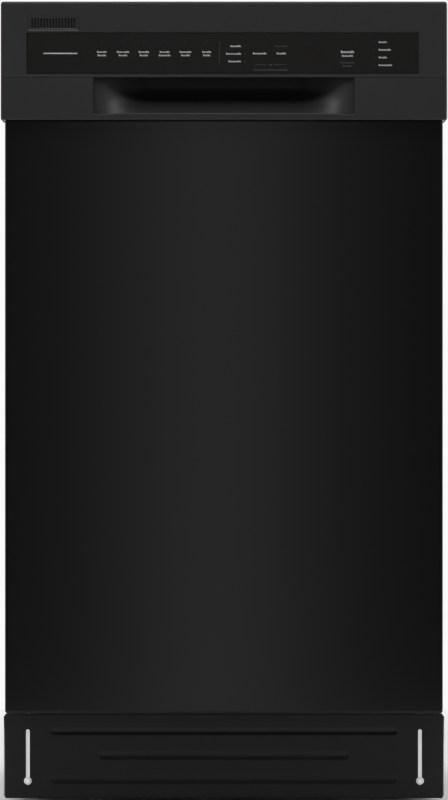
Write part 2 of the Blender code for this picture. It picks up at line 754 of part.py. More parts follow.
def door_spring(side):
    """The coil spring that balances the door, drawn as the tube that it fills."""
    name = "door_spring_right" if side > 0 else "door_spring_left"
    profile = [
        (0.0, -0.2221), (SPRING_WIRE, -0.2221), (SPRING_WIRE, -0.186), (SPRING_RADIUS, -0.186),
        (SPRING_RADIUS, 0.010), (SPRING_WIRE, 0.010), (SPRING_WIRE, SPRING_LUG - GAP), (0.0, SPRING_LUG - GAP),
    ]
    return turned(name, profile, (side * SPRING_X, 0, SPRING_Z), "galvanised", "Y", 12)


# Water path


def sump():
    """The bowl under the tub's floor, with a stub for each pump."""
    top = TUB_FLOOR - TUB_SHEET - 0.0005
    outer, inner = SUMP_RADIUS + 0.004, SUMP_RADIUS - 0.002
    profile = [
        (0.0, 0.042), (outer - 0.012, 0.042), (outer, 0.054), (outer, top), (inner, top), (inner, 0.058),
        (inner - 0.010, 0.048), (0.0, 0.048),
    ]
    bowl = turned("sump", profile, SUMP, "grey_plastic", steps=36)
    back_stub = rod("sump_back_stub", (0, 0.045, 0.074), 0.020, 0.0, 0.014, axis="Y", steps=20)
    side_stub = rod("sump_side_stub", (0.075, -0.045, 0.072), 0.014, 0.0, 0.013, axis="X", steps=20)
    return fuse(bowl, back_stub, side_stub)


def filter_plate():
    """The flat strainer over the sump, with a hole for the filter and a post for the lower spray arm."""
    low = TUB_FLOOR + GAP
    disc = turned("filter_plate", drum(SUMP_RADIUS + 0.0055, low, low + 0.002), SUMP, "stainless", steps=36)
    post = rod("arm_post", (LOWER_ARM.x, LOWER_ARM.y, 0), 0.009, low + 0.001, 0.1275, steps=20)
    hole = rod("filter_hole", FILTER, FILTER_RADIUS + 0.0005, 0.10, 0.13, steps=28)
    return cut(fuse(disc, post), hole)


def filter_cylinder():
    """The twist-out filter cup, with a bar on top to turn it by."""
    radius = FILTER_RADIUS
    profile = [
        (0.0, 0.052), (radius - 0.004, 0.052), (radius, 0.056), (radius, 0.1165), (radius - 0.004, 0.1165),
        (radius - 0.004, 0.100), (0.0, 0.100),
    ]
    cup = turned("filter_cylinder", profile, FILTER, "grey_plastic", steps=28)
    bar = block("filter_bar", (-0.030, FILTER.y - 0.003, 0.0985), (0.030, FILTER.y + 0.003, 0.1225))
    return fuse(cup, bar)


def circulation_pump():
    """The wash pump on the back of the sump."""
    profile = [
        (0.0, 0.0), (0.022, 0.0), (0.034, 0.006), (0.036, 0.034), (0.031, 0.038), (0.031, 0.108),
        (0.026, 0.116), (0.010, 0.118), (0.010, 0.126), (0.0, 0.126),
    ]
    return turned("circulation_pump", profile, (0, 0.0595, 0.074), "grey_plastic", "Y", 28)


def drain_pump():
    """The drain pump on the side of the sump."""
    profile = [
        (0.0, 0.0), (0.018, 0.0), (0.024, 0.004), (0.024, 0.020), (0.019, 0.024), (0.019, 0.062), (0.0, 0.062),
    ]
    return turned("drain_pump", profile, (0.0885, -0.045, 0.072), "grey_plastic", "X", 24)


def inlet_valve():
    """The water inlet valve on the back of the cross rail, with its stub facing down."""
    body = block(
        "inlet_valve", (INLET.x - 0.0225, RAIL_REAR, 0.060), (INLET.x + 0.0225, -0.160, 0.096), "light_plastic"
    )
    stub = rod("inlet_stub", (INLET.x, INLET.y, 0), INLET_RADIUS, INLET.z, 0.062, steps=20)
    return fuse(body, stub)


def junction_box():
    """The steel box where the house wiring enters."""
    return block("junction_box", (0.100, RAIL_REAR, 0.055), (0.166, -0.135, 0.102), "galvanised")


def spray_feed_pipe():
    """The flat pipe from the sump, along the floor and up the back, to the upper rack."""
    low = TUB_FLOOR + GAP
    upright = block(
        "spray_feed_pipe", (-0.016, 0.2245, low), (0.016, TUB_BACK - 0.0005, 0.485), "grey_plastic"
    )
    along_floor = block("feed_floor_run", (-0.016, 0.060, low), (0.016, 0.230, 0.126))
    dock = block("feed_dock", (-0.012, 0.2122, 0.4625), (0.012, 0.230, 0.4735))
    return fuse(upright, along_floor, dock)


def spray_arm(name, centre, reach, width, hub_low, hub_high, finish):
    """A hollow blade that spins on its hub, drawn as a tapered bar."""
    half = width / 2
    outline = [
        (-reach, -half * 0.7), (0.0, -half), (reach, -half * 0.7), (reach + half * 0.4, 0.0),
        (reach, half * 0.7), (0.0, half), (-reach, half * 0.7), (-reach - half * 0.4, 0.0),
    ]
    bm = bmesh.new()
    face = bm.faces.new([bm.verts.new((x, y, -0.006)) for x, y in outline])
    grown = bmesh.ops.extrude_face_region(bm, geom=[face])
    moved = [v for v in grown["geom"] if isinstance(v, bmesh.types.BMVert)]
    bmesh.ops.translate(bm, vec=(0, 0, 0.012), verts=moved)
    arm = make_object(name, mesh_of(name, bm), finish, centre)
    return fuse(arm, rod(f"{name}_hub", (centre.x, centre.y, 0), 0.016, hub_low, hub_high, steps=20))


# Racks


def basket(name, low, high, wall, finish):
    """An open-topped basket with the outer shape of the wire one."""
    outer = block(name, low, high, finish)
    inner = block(
        f"{name}_inside", (low[0] + wall, low[1] + wall, low[2] + wall),
        (high[0] - wall, high[1] - wall, high[2] + 0.01),
    )
    return cut(outer, inner)


def upper_rack():
    """The upper rack with its rollers, and the feed tube for its spray arm along the underside."""
    half = UPPER_RACK["half_width"]
    rack = basket(
        "upper_rack", (-half, RACK_FRONT, UPPER_RACK["bottom"]),
        (half, UPPER_RACK["back"], UPPER_RACK["top"]), RACK_WALL, "coated_wire",
    )
    feed = block(
        "rack_feed_tube", (-0.012, UPPER_ARM.y - 0.012, 0.4622), (0.012, 0.2115, UPPER_RACK["bottom"] + 0.001)
    )
    rollers = [
        roller(f"rack_roller_{side}_{y}", side, (half - 0.002, 0.1885), y) for side in (-1, 1) for y in RACK_ROLLER_Y
    ]
    return fuse(rack, feed, *rollers)


def upper_rail(side):
    """The channel rail that the upper rack runs on: an I section."""
    name = "upper_rail_right" if side > 0 else "upper_rail_left"
    xs = sorted((side * 0.1835, side * 0.1965))
    rail = block(name, (xs[0], -0.185, RAIL_Z - 0.012), (xs[1], 0.205, RAIL_Z + 0.012), "stainless")
    grooves = []
    for label, near, far in (("inner", 0.180, 0.1892), ("outer", 0.1908, 0.200)):
        groove_xs = sorted((side * near, side * far))
        grooves.append(block(
            f"{name}_{label}", (groove_xs[0], -0.20, RAIL_Z - 0.0105), (groove_xs[1], 0.22, RAIL_Z + 0.0105)
        ))
    return cut(rail, *grooves)


def lower_rack():
    """The lower rack with a hanger and an axle for each wheel."""
    half = LOWER_RACK["half_width"]
    rack = basket(
        "lower_rack", (-half, RACK_FRONT, LOWER_RACK["bottom"]),
        (half, LOWER_RACK["back"], LOWER_RACK["top"]), RACK_WALL, "coated_wire",
    )
    parts = []
    for side in (-1, 1):
        for y in WHEEL_Y:
            xs = sorted((side * 0.1805, side * 0.1835))
            parts.append(
                block(f"hanger_{side}_{y}", (xs[0], y - 0.008, WHEEL_Z - 0.006), (xs[1], y + 0.008, 0.170))
            )
            axle = sorted((side * 0.182, side * 0.1985))
            parts.append(
                rod(f"axle_{side}_{y}", (0, y, WHEEL_Z), AXLE_RADIUS, axle[0], axle[1], axis="X", steps=12)
            )
    return fuse(rack, *parts)


def wheels():
    """The lower rack's wheels, which turn on its axles."""
    shape = turned_mesh("wheel", ring(AXLE_RADIUS + GAP, WHEEL_RADIUS, -0.005, 0.005), "X", 24)
    made = {}
    for across, side in (("left", -1), ("right", 1)):
        for along, y in zip(("front", "rear"), WHEEL_Y):
            name = f"wheel_{along}_{across}"
            made[name] = make_object(name, shape, "light_plastic", (side * WHEEL_X, y, WHEEL_Z))
    return made


def silverware_basket():
    """The cutlery basket in the lower rack, with an arched handle over it."""
    low, high = (0.100, -0.165, 0.1590), (0.174, 0.060, 0.270)
    holder = basket("silverware_basket", low, high, 0.002, "grey_plastic")
    middle = (low[1] + high[1]) / 2
    divider = block(
        "basket_divider", (low[0] + 0.001, middle - 0.001, low[2] + 0.001),
        (high[0] - 0.001, middle + 0.001, high[2]),
    )
    post = block("basket_post", (0.134, middle - 0.004, 0.262), (0.140, middle + 0.004, 0.312))
    grip = block("basket_grip", (0.132, middle - 0.045, 0.306), (0.142, middle + 0.045, 0.316))
    return fuse(holder, divider, post, grip)


def clear_scene():
    """Empties the startup scene."""
    for found in list(bpy.data.objects):
        bpy.data.objects.remove(found)


def build_door():
    """Everything that swings with the door, and the pieces that move on it."""
    swing = pivot("door_hinge", HINGE)
    hang(
        swing, console_shell(), control_overlay(), handle_scoop(), door_outer_panel(), door_inner_liner(),
        door_bottom_seal(), control_board(), dispenser_body(), latch_housing(), hinge_arm(-1), hinge_arm(1),
    )
    for piece in keys().values():
        hang(swing, piece)
    hang(swing, detergent_lid(), rinse_aid_cap())
    hook_pivot = pivot("latch_hook_pivot", Vector((0.0, -0.2540, 0.7820)))
    hang(hook_pivot, latch_hook())


def build_cabinet():
    """The pieces that stay put, and the feet and kick plate."""
    tub_shell()
    tub_gasket()
    rear_panel()
    top_mounting_strip()
    striker()
    base_tray()
    base_front_frame()
    toe_kick_panel()
    feet()
    for side in (-1, 1):
        side_panel(side)
        kick_screw(side)
        door_spring(side)


def build_water_path():
    """Sump, filters, pumps, inlet and the spray arms."""
    sump()
    filter_plate()
    filter_cylinder()
    circulation_pump()
    drain_pump()
    inlet_valve()
    junction_box()
    spray_feed_pipe()
    spray_arm("lower_spray_arm", LOWER_ARM, 0.158, 0.036, 0.1278, 0.149, "grey_plastic")
    spray_arm("upper_spray_arm", UPPER_ARM, 0.152, 0.032, 0.442, 0.4618, "grey_plastic")


def build_racks():
    """The racks, their rails and wheels, and the silverware basket."""
    upper_rack()
    lower_rack()
    silverware_basket()
    wheels()
    for side in (-1, 1):
        upper_rail(side)


def main():
    """Builds the whole dishwasher."""
    clear_scene()
    build_door()
    build_cabinet()
    build_water_path()
    build_racks()


main()
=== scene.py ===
"""The looks of a built-in dishwasher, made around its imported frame.

Metres, +Z up. The door faces -Y, and +X is on the right of someone who stands before it.
Each sub-assembly is a class: its fields are its sizes, and its methods make and dress its surfaces.
Places come from the frame, so every piece sits where its solid says.
"""

import json
import logging
import math
from dataclasses import dataclass, replace
from enum import Enum
from typing import Sequence

import bmesh
import bpy
import numpy as np
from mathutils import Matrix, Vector
from mathutils.geometry import tessellate_polygon


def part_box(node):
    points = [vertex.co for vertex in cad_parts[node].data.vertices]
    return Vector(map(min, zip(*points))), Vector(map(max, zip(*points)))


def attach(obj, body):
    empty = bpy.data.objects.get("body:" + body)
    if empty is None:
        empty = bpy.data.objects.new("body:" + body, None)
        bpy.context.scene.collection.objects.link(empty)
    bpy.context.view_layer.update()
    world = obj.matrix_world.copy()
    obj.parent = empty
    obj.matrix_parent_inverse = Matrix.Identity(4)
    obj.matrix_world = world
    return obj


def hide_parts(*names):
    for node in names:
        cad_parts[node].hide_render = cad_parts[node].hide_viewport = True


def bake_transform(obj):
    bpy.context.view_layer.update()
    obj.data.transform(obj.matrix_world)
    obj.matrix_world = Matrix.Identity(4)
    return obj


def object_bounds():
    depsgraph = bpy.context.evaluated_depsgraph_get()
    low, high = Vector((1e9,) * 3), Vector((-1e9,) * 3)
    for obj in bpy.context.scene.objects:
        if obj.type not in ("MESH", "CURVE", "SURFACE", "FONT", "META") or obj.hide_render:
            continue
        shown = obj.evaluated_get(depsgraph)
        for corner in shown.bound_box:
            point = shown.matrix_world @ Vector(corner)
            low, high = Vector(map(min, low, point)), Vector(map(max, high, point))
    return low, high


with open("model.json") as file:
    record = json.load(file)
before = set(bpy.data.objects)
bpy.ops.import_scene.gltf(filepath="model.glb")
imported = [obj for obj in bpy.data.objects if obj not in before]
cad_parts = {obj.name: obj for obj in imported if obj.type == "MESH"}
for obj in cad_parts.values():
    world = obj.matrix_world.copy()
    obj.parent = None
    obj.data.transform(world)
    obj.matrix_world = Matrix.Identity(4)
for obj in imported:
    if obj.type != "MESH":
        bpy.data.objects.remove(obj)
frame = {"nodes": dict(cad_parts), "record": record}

CAD_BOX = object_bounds()
LOG = logging.getLogger("dishwasher")
BODY_OF = {node: body for body, nodes in frame["record"]["behaviour"]["bodies"].items() for node in nodes}
WELD = 2e-6
GAP = 0.0003
UP = np.array((0.0, 0.0, 1.0))
QUARTER = np.linspace(0, math.pi / 2, 5)
PLACES = ("front_left", "front_right", "rear_left", "rear_right")

Array = np.ndarray
Loop = Array


# Finishes


class Pattern(Enum):
    """How a finish varies over its surface."""

    GRAIN = "fine even noise"
    SPANGLE = "zinc crystals"
    BRUSHED = "lines drawn along one axis"
    TRACES = "copper tracks"


@dataclass(frozen=True)
class Finish:
    """One surface finish and the record's slot that it belongs to.

    mottle is the share by which the colour varies, spread the amount by which the roughness varies,
    scale the number of pattern cells per metre, and relief the height of the pattern in metres."""

    name: str
    slot: str
    colour: tuple[float, float, float]
    roughness: float
    metallic: float = 0.0
    pattern: Pattern = Pattern.GRAIN
    scale: float = 900.0
    stretch: tuple[float, float, float] = (1.0, 1.0, 1.0)
    mottle: float = 0.10
    spread: float = 0.06
    relief: float = 0.00003
    specular: float = 0.5
    coat: float = 0.0
    # glow: emission from the finish's own colour; where it is set, it is painted light, a glow that stands in
    # for light falling on the part
    glow: float = 0.0

    def material(self) -> bpy.types.Material:
        """Makes the material on first use.

        Returns:
            A Principled material whose colour, roughness and bump follow the pattern."""
        found = bpy.data.materials.get(self.name)
        if found:
            return found
        made = bpy.data.materials.new(self.name)
        made.use_nodes = True
        tree = made.node_tree
        shader = tree.nodes["Principled BSDF"]
        shader.inputs["Metallic"].default_value = self.metallic
        shader.inputs["Specular IOR Level"].default_value = self.specular
        shader.inputs["Coat Weight"].default_value = self.coat
        shader.inputs["Coat Roughness"].default_value = 0.08
        share = self.share(tree)
        tint = tree.nodes.new("ShaderNodeMix")
        tint.data_type = "RGBA"
        for socket, change in (("A", -self.mottle), ("B", self.mottle)):
            colour = [min(1.0, part * (1.0 + change)) for part in self.colour]
            into = next(s for s in tint.inputs if s.name == socket and s.type == "RGBA")
            into.default_value = (*colour, 1.0)
        tree.links.new(share, tint.inputs["Factor"])
        painted = next(s for s in tint.outputs if s.type == "RGBA")
        tree.links.new(painted, shader.inputs["Base Color"])
        polish = tree.nodes.new("ShaderNodeMapRange")
        polish.inputs["To Min"].default_value = max(0.02, self.roughness - self.spread)
        polish.inputs["To Max"].default_value = min(1.0, self.roughness + self.spread)
        tree.links.new(share, polish.inputs["Value"])
        tree.links.new(polish.outputs["Result"], shader.inputs["Roughness"])
        bump = tree.nodes.new("ShaderNodeBump")
        bump.inputs["Strength"].default_value = 0.6
        bump.inputs["Distance"].default_value = self.relief
        tree.links.new(share, bump.inputs["Height"])
        tree.links.new(bump.outputs["Normal"], shader.inputs["Normal"])
        # painted light: the colour also glows, standing in for light falling on the part
        if self.glow:
            tree.links.new(painted, shader.inputs["Emission Color"])
            shader.inputs["Emission Strength"].default_value = self.glow
        return made

    def share(self, tree: bpy.types.NodeTree) -> bpy.types.NodeSocket:
        """Lays out the pattern on Object coordinates.

        Args:
            tree: the material's node tree.
        Returns:
            The socket that runs from 0 to 1 over the surface."""
        place = tree.nodes.new("ShaderNodeTexCoord")
        turn = tree.nodes.new("ShaderNodeMapping")
        turn.inputs["Scale"].default_value = self.stretch
        tree.links.new(place.outputs["Object"], turn.inputs["Vector"])
        if self.pattern is Pattern.SPANGLE:
            cells = tree.nodes.new("ShaderNodeTexVoronoi")
            cells.inputs["Scale"].default_value = self.scale
            tree.links.new(turn.outputs["Vector"], cells.inputs["Vector"])
            grey = tree.nodes.new("ShaderNodeRGBToBW")
            tree.links.new(cells.outputs["Color"], grey.inputs["Color"])
            return grey.outputs["Val"]
        if self.pattern is Pattern.TRACES:
            tracks = tree.nodes.new("ShaderNodeTexBrick")
            tracks.inputs["Scale"].default_value = self.scale
            tracks.inputs["Mortar Size"].default_value = 0.08
            tree.links.new(turn.outputs["Vector"], tracks.inputs["Vector"])
            return tracks.outputs["Fac"]
        noise = tree.nodes.new("ShaderNodeTexNoise")
        noise.inputs["Scale"].default_value = self.scale
        noise.inputs["Detail"].default_value = 4.0
        tree.links.new(turn.outputs["Vector"], noise.inputs["Vector"])
        return noise.outputs["Fac"]


CONSOLE_BLACK = Finish(
    "console_black", "console_plastic", (0.0200, 0.0200, 0.0200), 0.42, scale=1500, relief=0.00004,
)
POCKET_BLACK = Finish(
    "pocket_black", "black_plastic", (0.018, 0.018, 0.018), 0.46, scale=1500, relief=0.00003,
)
GLOSS_BLACK = Finish(
    "gloss_black", "gloss_overlay", (0.0082, 0.0082, 0.0072), 0.30, scale=60, mottle=0.06, spread=0.03,
    relief=0.00001, specular=0.30,
)
ENAMEL = Finish(
    "door_enamel", "black_enamel", (0.0030, 0.0036, 0.0033), 0.172, scale=350, mottle=0.15, spread=0.006,
    relief=0.000003, specular=0.30,
)
KICK_BLACK = Finish(
    "kick_black", "black_enamel", (0.0085, 0.0085, 0.0085), 0.40, scale=700, mottle=0.10, spread=0.04,
    relief=0.00001, specular=0.35,
)
STEEL = Finish(
    "brushed_steel", "stainless", (0.66, 0.66, 0.65), 0.33, 0.85, Pattern.BRUSHED, 40.0, (1.0, 30.0, 30.0),
    mottle=0.07, spread=0.07, relief=0.00001,
)
ZINC = Finish(
    "zinc_sheet", "galvanised", (0.62, 0.64, 0.65), 0.42, 0.75, Pattern.SPANGLE, 130.0, mottle=0.13,
    spread=0.10, relief=0.00001,
)
BRIGHT_ZINC = Finish(
    "bright_zinc", "galvanised", (0.90, 0.905, 0.91), 0.45, 0.10, Pattern.SPANGLE, 160.0, mottle=0.05,
    spread=0.06, relief=0.00001,
)
# Painted shade: the frame is made black so the gap under the door reads as dark as a shaded gap
FRAME_BLACK_GAP_SHADE = Finish(
    "frame_black_gap_shade", "galvanised", (0.010, 0.010, 0.010), 0.50, scale=700, mottle=0.10, relief=0.00001,
)
# Zinc that glows: a painted highlight, so the straps behind the kick plate's slots look brightly lit
ZINC_PAINTED_GLOW = replace(BRIGHT_ZINC, name="zinc_painted_glow", glow=0.42)
# Screw heads glow faintly: a painted highlight on the zinc heads
SCREW_PAINTED_HIGHLIGHT = replace(ZINC_PAINTED_GLOW, name="screw_painted_highlight", glow=0.19)
GREY = Finish("grey_moulding", "grey_plastic", (0.30, 0.31, 0.32), 0.50, scale=1200, relief=0.00005)
PALE = Finish("pale_moulding", "light_plastic", (0.68, 0.69, 0.69), 0.48, scale=1200, relief=0.00004)
BLACK = Finish("black_moulding", "black_plastic", (0.020, 0.020, 0.020), 0.48, scale=1300, relief=0.00005)
RUBBER = Finish(
    "black_rubber", "rubber", (0.028, 0.028, 0.029), 0.80, scale=900, relief=0.00006, specular=0.3,
)
WIRE = Finish(
    "vinyl_coated_wire", "coated_wire", (0.36, 0.37, 0.38), 0.42, scale=500, mottle=0.06, relief=0.00003,
)
BOARD = Finish(
    "board_green", "circuit_board", (0.03, 0.15, 0.065), 0.42, 0.0, Pattern.TRACES, 160.0, mottle=0.35,
    spread=0.10,
)
BITUMEN = Finish("bitumen_mat", "rubber", (0.018, 0.018, 0.018), 0.62, scale=250, mottle=0.2, relief=0.0001)
INK = Finish("print_white", "gloss_overlay", (0.55, 0.55, 0.54), 0.55, scale=1500, mottle=0.08)
DIM_INK = Finish("print_grey", "gloss_overlay", (0.050, 0.050, 0.049), 0.55, scale=1500, mottle=0.10)
TINT = Finish(
    "window_tint", "gloss_overlay", (0.0074, 0.0066, 0.0056), 0.28, scale=80, mottle=0.08, spread=0.02,
    specular=0.30,
)


# Surfaces


class Shape:
    """A surface in the making: points and faces gathered from several patches."""

    def __init__(self) -> None:
        """Starts empty."""
        self.points: list[Array] = []
        self.faces: list[list[int]] = []
        self.count = 0

    def add(self, points: Array, faces: Array | Sequence[Sequence[int]]) -> "Shape":
        """Adds a patch.

        Args:
            points: the patch's points, (n, 3).
            faces: rows of the patch's own point numbers.
        Returns:
            The shape itself."""
        points = np.asarray(points, float).reshape(-1, 3)
        self.faces += (np.asarray(faces) + self.count).tolist()
        self.points.append(points)
        self.count += len(points)
        return self

    def grid(self, points: Array, wrap_rows: bool = False, wrap_columns: bool = False) -> "Shape":
        """Adds a grid: face (i, j) joins points (i, j), (i, j+1), (i+1, j+1) and (i+1, j).

        Args:
            points: (rows, columns, 3).
            wrap_rows: whether the last row joins the first.
            wrap_columns: whether the last column joins the first.
        Returns:
            The shape itself."""
        rows, columns = points.shape[:2]
        i = np.arange(rows if wrap_rows else rows - 1)[:, None]
        j = np.arange(columns if wrap_columns else columns - 1)[None, :]
        below, beside = (i + 1) % rows, (j + 1) % columns
        corners = (i * columns + j, i * columns + beside, below * columns + beside, below * columns + j)
        return self.add(points, np.stack(corners, axis=-1).reshape(-1, 4))

    def flat(self, outline: Loop, *holes: Loop) -> "Shape":
        """Adds a flat face, cut into triangles between its outline and its holes.

        Args:
            outline: the outer loop, (n, 3).
            holes: loops inside it.
        Returns:
            The shape itself."""
        loops = [np.asarray(loop, float) for loop in (outline, *holes)]
        triangles = tessellate_polygon([[Vector(point) for point in loop] for loop in loops])
        return self.add(np.concatenate(loops), np.array(triangles))

    def loft(self, rings: Sequence[Loop] | Array, ends: bool = True) -> "Shape":
        """Adds the skin over a row of loops with equally many points, closed by its end loops where asked.

        Args:
            rings: the loops.
            ends: whether the first and last loops are filled.
        Returns:
            The shape itself."""
        rings = np.asarray(rings, float)
        self.grid(rings, wrap_columns=True)
        if ends:
            self.add(rings[0], [list(range(rings.shape[1]))])
            self.add(rings[-1], [list(range(rings.shape[1]))])
        return self

    def block(self, low: Sequence[float], high: Sequence[float]) -> "Shape":
        """Adds a box between two corners, as a loft of its floor and its roof."""
        (x0, y0, z0), (x1, y1, z1) = low, high
        floor = np.array(((x0, y0, z0), (x1, y0, z0), (x1, y1, z0), (x0, y1, z0)))
        return self.loft((floor, floor + (0, 0, z1 - z0)))

    def lathe(self, profile: Sequence[tuple[float, float]], centre: Sequence[float], axis: str = "Z",
              steps: int = 32) -> "Shape":
        """Adds a turned shape: point (radius, along) goes to centre + radius (cos t, sin t) + along the axis.

        Args:
            profile: (radius, distance along the axis) points; a zero radius closes a pole.
            centre: the origin of the profile.
            axis: X, Y or Z.
            steps: points round the circle.
        Returns:
            The shape itself."""
        profile = np.asarray(profile, float)
        angle = np.linspace(0, 2 * math.pi, steps, endpoint=False)[None, :]
        across = [profile[:, :1] * np.cos(angle), profile[:, :1] * np.sin(angle)]
        along = np.broadcast_to(profile[:, 1:], across[0].shape)
        order = {"X": (along, *across), "Y": (across[1], along, across[0]), "Z": (*across, along)}[axis]
        return self.grid(np.stack(order, axis=-1) + np.asarray(centre, float), wrap_columns=True)

    def tube(self, path: Array, radius: float, sides: int = 8, closed: bool = False) -> "Shape":
        """Adds a wire: a circle carried along a path, square to it, with flat ends where the path is open.

        At each point the circle lies on the two directions across the path that a fixed lean gives.

        Args:
            path: (n, 3) points.
            radius: the wire's radius.
            sides: points round the circle.
            closed: whether the path joins itself.
        Returns:
            The shape itself."""
        path = np.asarray(path, float)
        if closed:
            ahead, behind = np.roll(path, -1, axis=0), np.roll(path, 1, axis=0)
        else:
            ahead, behind = np.vstack((path[1:], path[-1:])), np.vstack((path[:1], path[:-1]))
        along = ahead - behind
        along /= np.linalg.norm(along, axis=1, keepdims=True)
        span = np.ptp(path, axis=0)
        lean = np.eye(3)[np.argmin(span)] + 0.01 * np.eye(3)[np.argmax(span)]
        first = np.cross(along, lean)
        first /= np.linalg.norm(first, axis=1, keepdims=True)
        second = np.cross(along, first)
        angle = np.linspace(0, 2 * math.pi, sides, endpoint=False)[None, :, None]
        rings = path[:, None] + radius * (np.cos(angle) * first[:, None] + np.sin(angle) * second[:, None])
        self.grid(rings, wrap_rows=closed, wrap_columns=True)
        if not closed:
            for end in (rings[0], rings[-1]):
                self.add(end, [list(range(sides))])
        return self

    def rods(self, starts: Array, ends: Array, radius: float, sides: int = 6) -> "Shape":
        """Adds many straight wires at once, each a prism with a short cone at both of its ends.

        Args:
            starts: (n, 3) points.
            ends: (n, 3) points.
            radius: the wires' radius.
            sides: faces round a wire.
        Returns:
            The shape itself."""
        starts, ends = (np.atleast_2d(points).astype(float) for points in (starts, ends))
        along = ends - starts
        length = np.linalg.norm(along, axis=1, keepdims=True)
        along = along / length
        lean = np.where(np.abs(along[:, 2:]) > 0.9, np.array((1.0, 0.0, 0.0)), UP)
        first = np.cross(along, lean)
        first /= np.linalg.norm(first, axis=1, keepdims=True)
        second = np.cross(along, first)
        angle = np.linspace(0, 2 * math.pi, sides, endpoint=False)[None, :, None]
        around = np.cos(angle) * first[:, None] + np.sin(angle) * second[:, None]
        tip = radius * 0.4
        rings = [
            (starts + along * shift)[:, None] + around * size
            for shift, size in ((0.0, tip), (tip, radius), (length - tip, radius), (length, tip))
        ]
        points = np.stack(rings, axis=1).reshape(-1, 3)
        i = np.arange(3)[:, None] * sides
        j = np.arange(sides)[None, :]
        beside = (j + 1) % sides
        skin = np.stack((i + j, i + beside, i + sides + beside, i + sides + j), axis=-1).reshape(-1, 4)
        offsets = np.arange(len(starts))[:, None, None] * 4 * sides
        caps = np.stack((np.arange(sides)[::-1], 3 * sides + np.arange(sides)))
        self.faces += (skin[None] + offsets + self.count).reshape(-1, 4).tolist()
        self.faces += (caps[None] + offsets + self.count).reshape(-1, sides).tolist()
        self.points.append(points)
        self.count += len(points)
        return self

    def build(self, name: str, finish: Finish, toward: Sequence[float] | None = None, sharp: float = 34.0,
              wall: float = 0.0, ease: float = 0.0) -> bpy.types.Object:
        """Turns the shape into an object that faces outwards.

        Args:
            name: the piece's name.
            finish: its finish.
            toward: on an open sheet, the direction that most of it faces.
            sharp: the angle in degrees past which an edge stays sharp.
            wall: the thickness put behind an open sheet.
            ease: the width of the rounding along sharp edges.
        Returns:
            The piece."""
        mesh = bpy.data.meshes.new(name)
        mesh.from_pydata(np.concatenate(self.points).tolist(), [], self.faces)
        return finished(name, mesh, finish, toward, sharp, wall, ease)


def finished(name: str, mesh: bpy.types.Mesh, finish: Finish, toward: Sequence[float] | None = None,
             sharp: float = 34.0, wall: float = 0.0, ease: float = 0.0,
             join_flats: bool = False) -> bpy.types.Object:
    """Merges a mesh's doubles, turns its faces outwards, and makes it a dressed object.

    Args:
        name: the piece's name.
        mesh: its mesh.
        finish: its finish.
        toward: on an open sheet, the direction that most of it faces.
        sharp: the angle in degrees past which an edge stays sharp.
        wall: the thickness put behind an open sheet.
        ease: the width of the rounding along sharp edges.
        join_flats: whether triangles that lie in one plane become one face.
    Returns:
        The piece."""
    bm = bmesh.new()
    bm.from_mesh(mesh)
    bmesh.ops.remove_doubles(bm, verts=bm.verts[:], dist=WELD)
    bmesh.ops.dissolve_degenerate(bm, edges=bm.edges[:], dist=WELD)
    if join_flats:
        bmesh.ops.dissolve_limit(bm, angle_limit=math.radians(0.5), verts=bm.verts[:], edges=bm.edges[:])
    bmesh.ops.recalc_face_normals(bm, faces=bm.faces[:])
    if toward is not None:
        total = sum((face.normal * face.calc_area() for face in bm.faces), Vector())
        if total.dot(Vector(toward)) < 0:
            bmesh.ops.reverse_faces(bm, faces=bm.faces[:])
    bm.to_mesh(mesh)
    bm.free()
    mesh.shade_smooth()
    if not ease:
        mesh.set_sharp_from_angle(angle=math.radians(sharp))
    piece = bpy.data.objects.new(name, mesh)
    bpy.context.scene.collection.objects.link(piece)
    mesh.materials.clear()
    mesh.materials.append(finish.material())
    if wall:
        thickness = piece.modifiers.new("wall", "SOLIDIFY")
        thickness.thickness = wall
        thickness.offset = -1.0
    if ease:
        rounding = piece.modifiers.new("eased_edges", "BEVEL")
        rounding.width = ease
        rounding.segments = 2
        rounding.limit_method = "ANGLE"
        rounding.angle_limit = math.radians(sharp)
    shading = piece.modifiers.new("flat_faces_stay_flat", "WEIGHTED_NORMAL")
    shading.keep_sharp = True
    return piece


def seat(piece: bpy.types.Object, body: str, finish: Finish, *nodes: str) -> None:
    """Makes a piece ride on a body and hides the nodes that it stands for.

    Args:
        piece: the piece.
        body: the body that it rides on.
        finish: not used.
        nodes: the nodes that it replaces."""
    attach(piece, body)
    if nodes:
        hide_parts(*nodes)
    LOG.info("%s rides on %s", piece.name, body)


def eased(node: str, finish: Finish, width: float) -> None:
    """Stands a copy of a node in its place, with its edges rounded, on the node's own body.

    Args:
        node: the node.
        finish: the finish of the copy.
        width: the width of the rounding."""
    mesh = frame["nodes"][node].data.copy()
    piece = finished(f"{node}_surface", mesh, finish, ease=width, join_flats=True)
    seat(piece, BODY_OF[node], finish, node)


def corners(node: str) -> tuple[Array, Array]:
    """The lowest and highest corners of a node, as arrays."""
    low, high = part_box(node)
    return np.array(low), np.array(high)


# Outlines


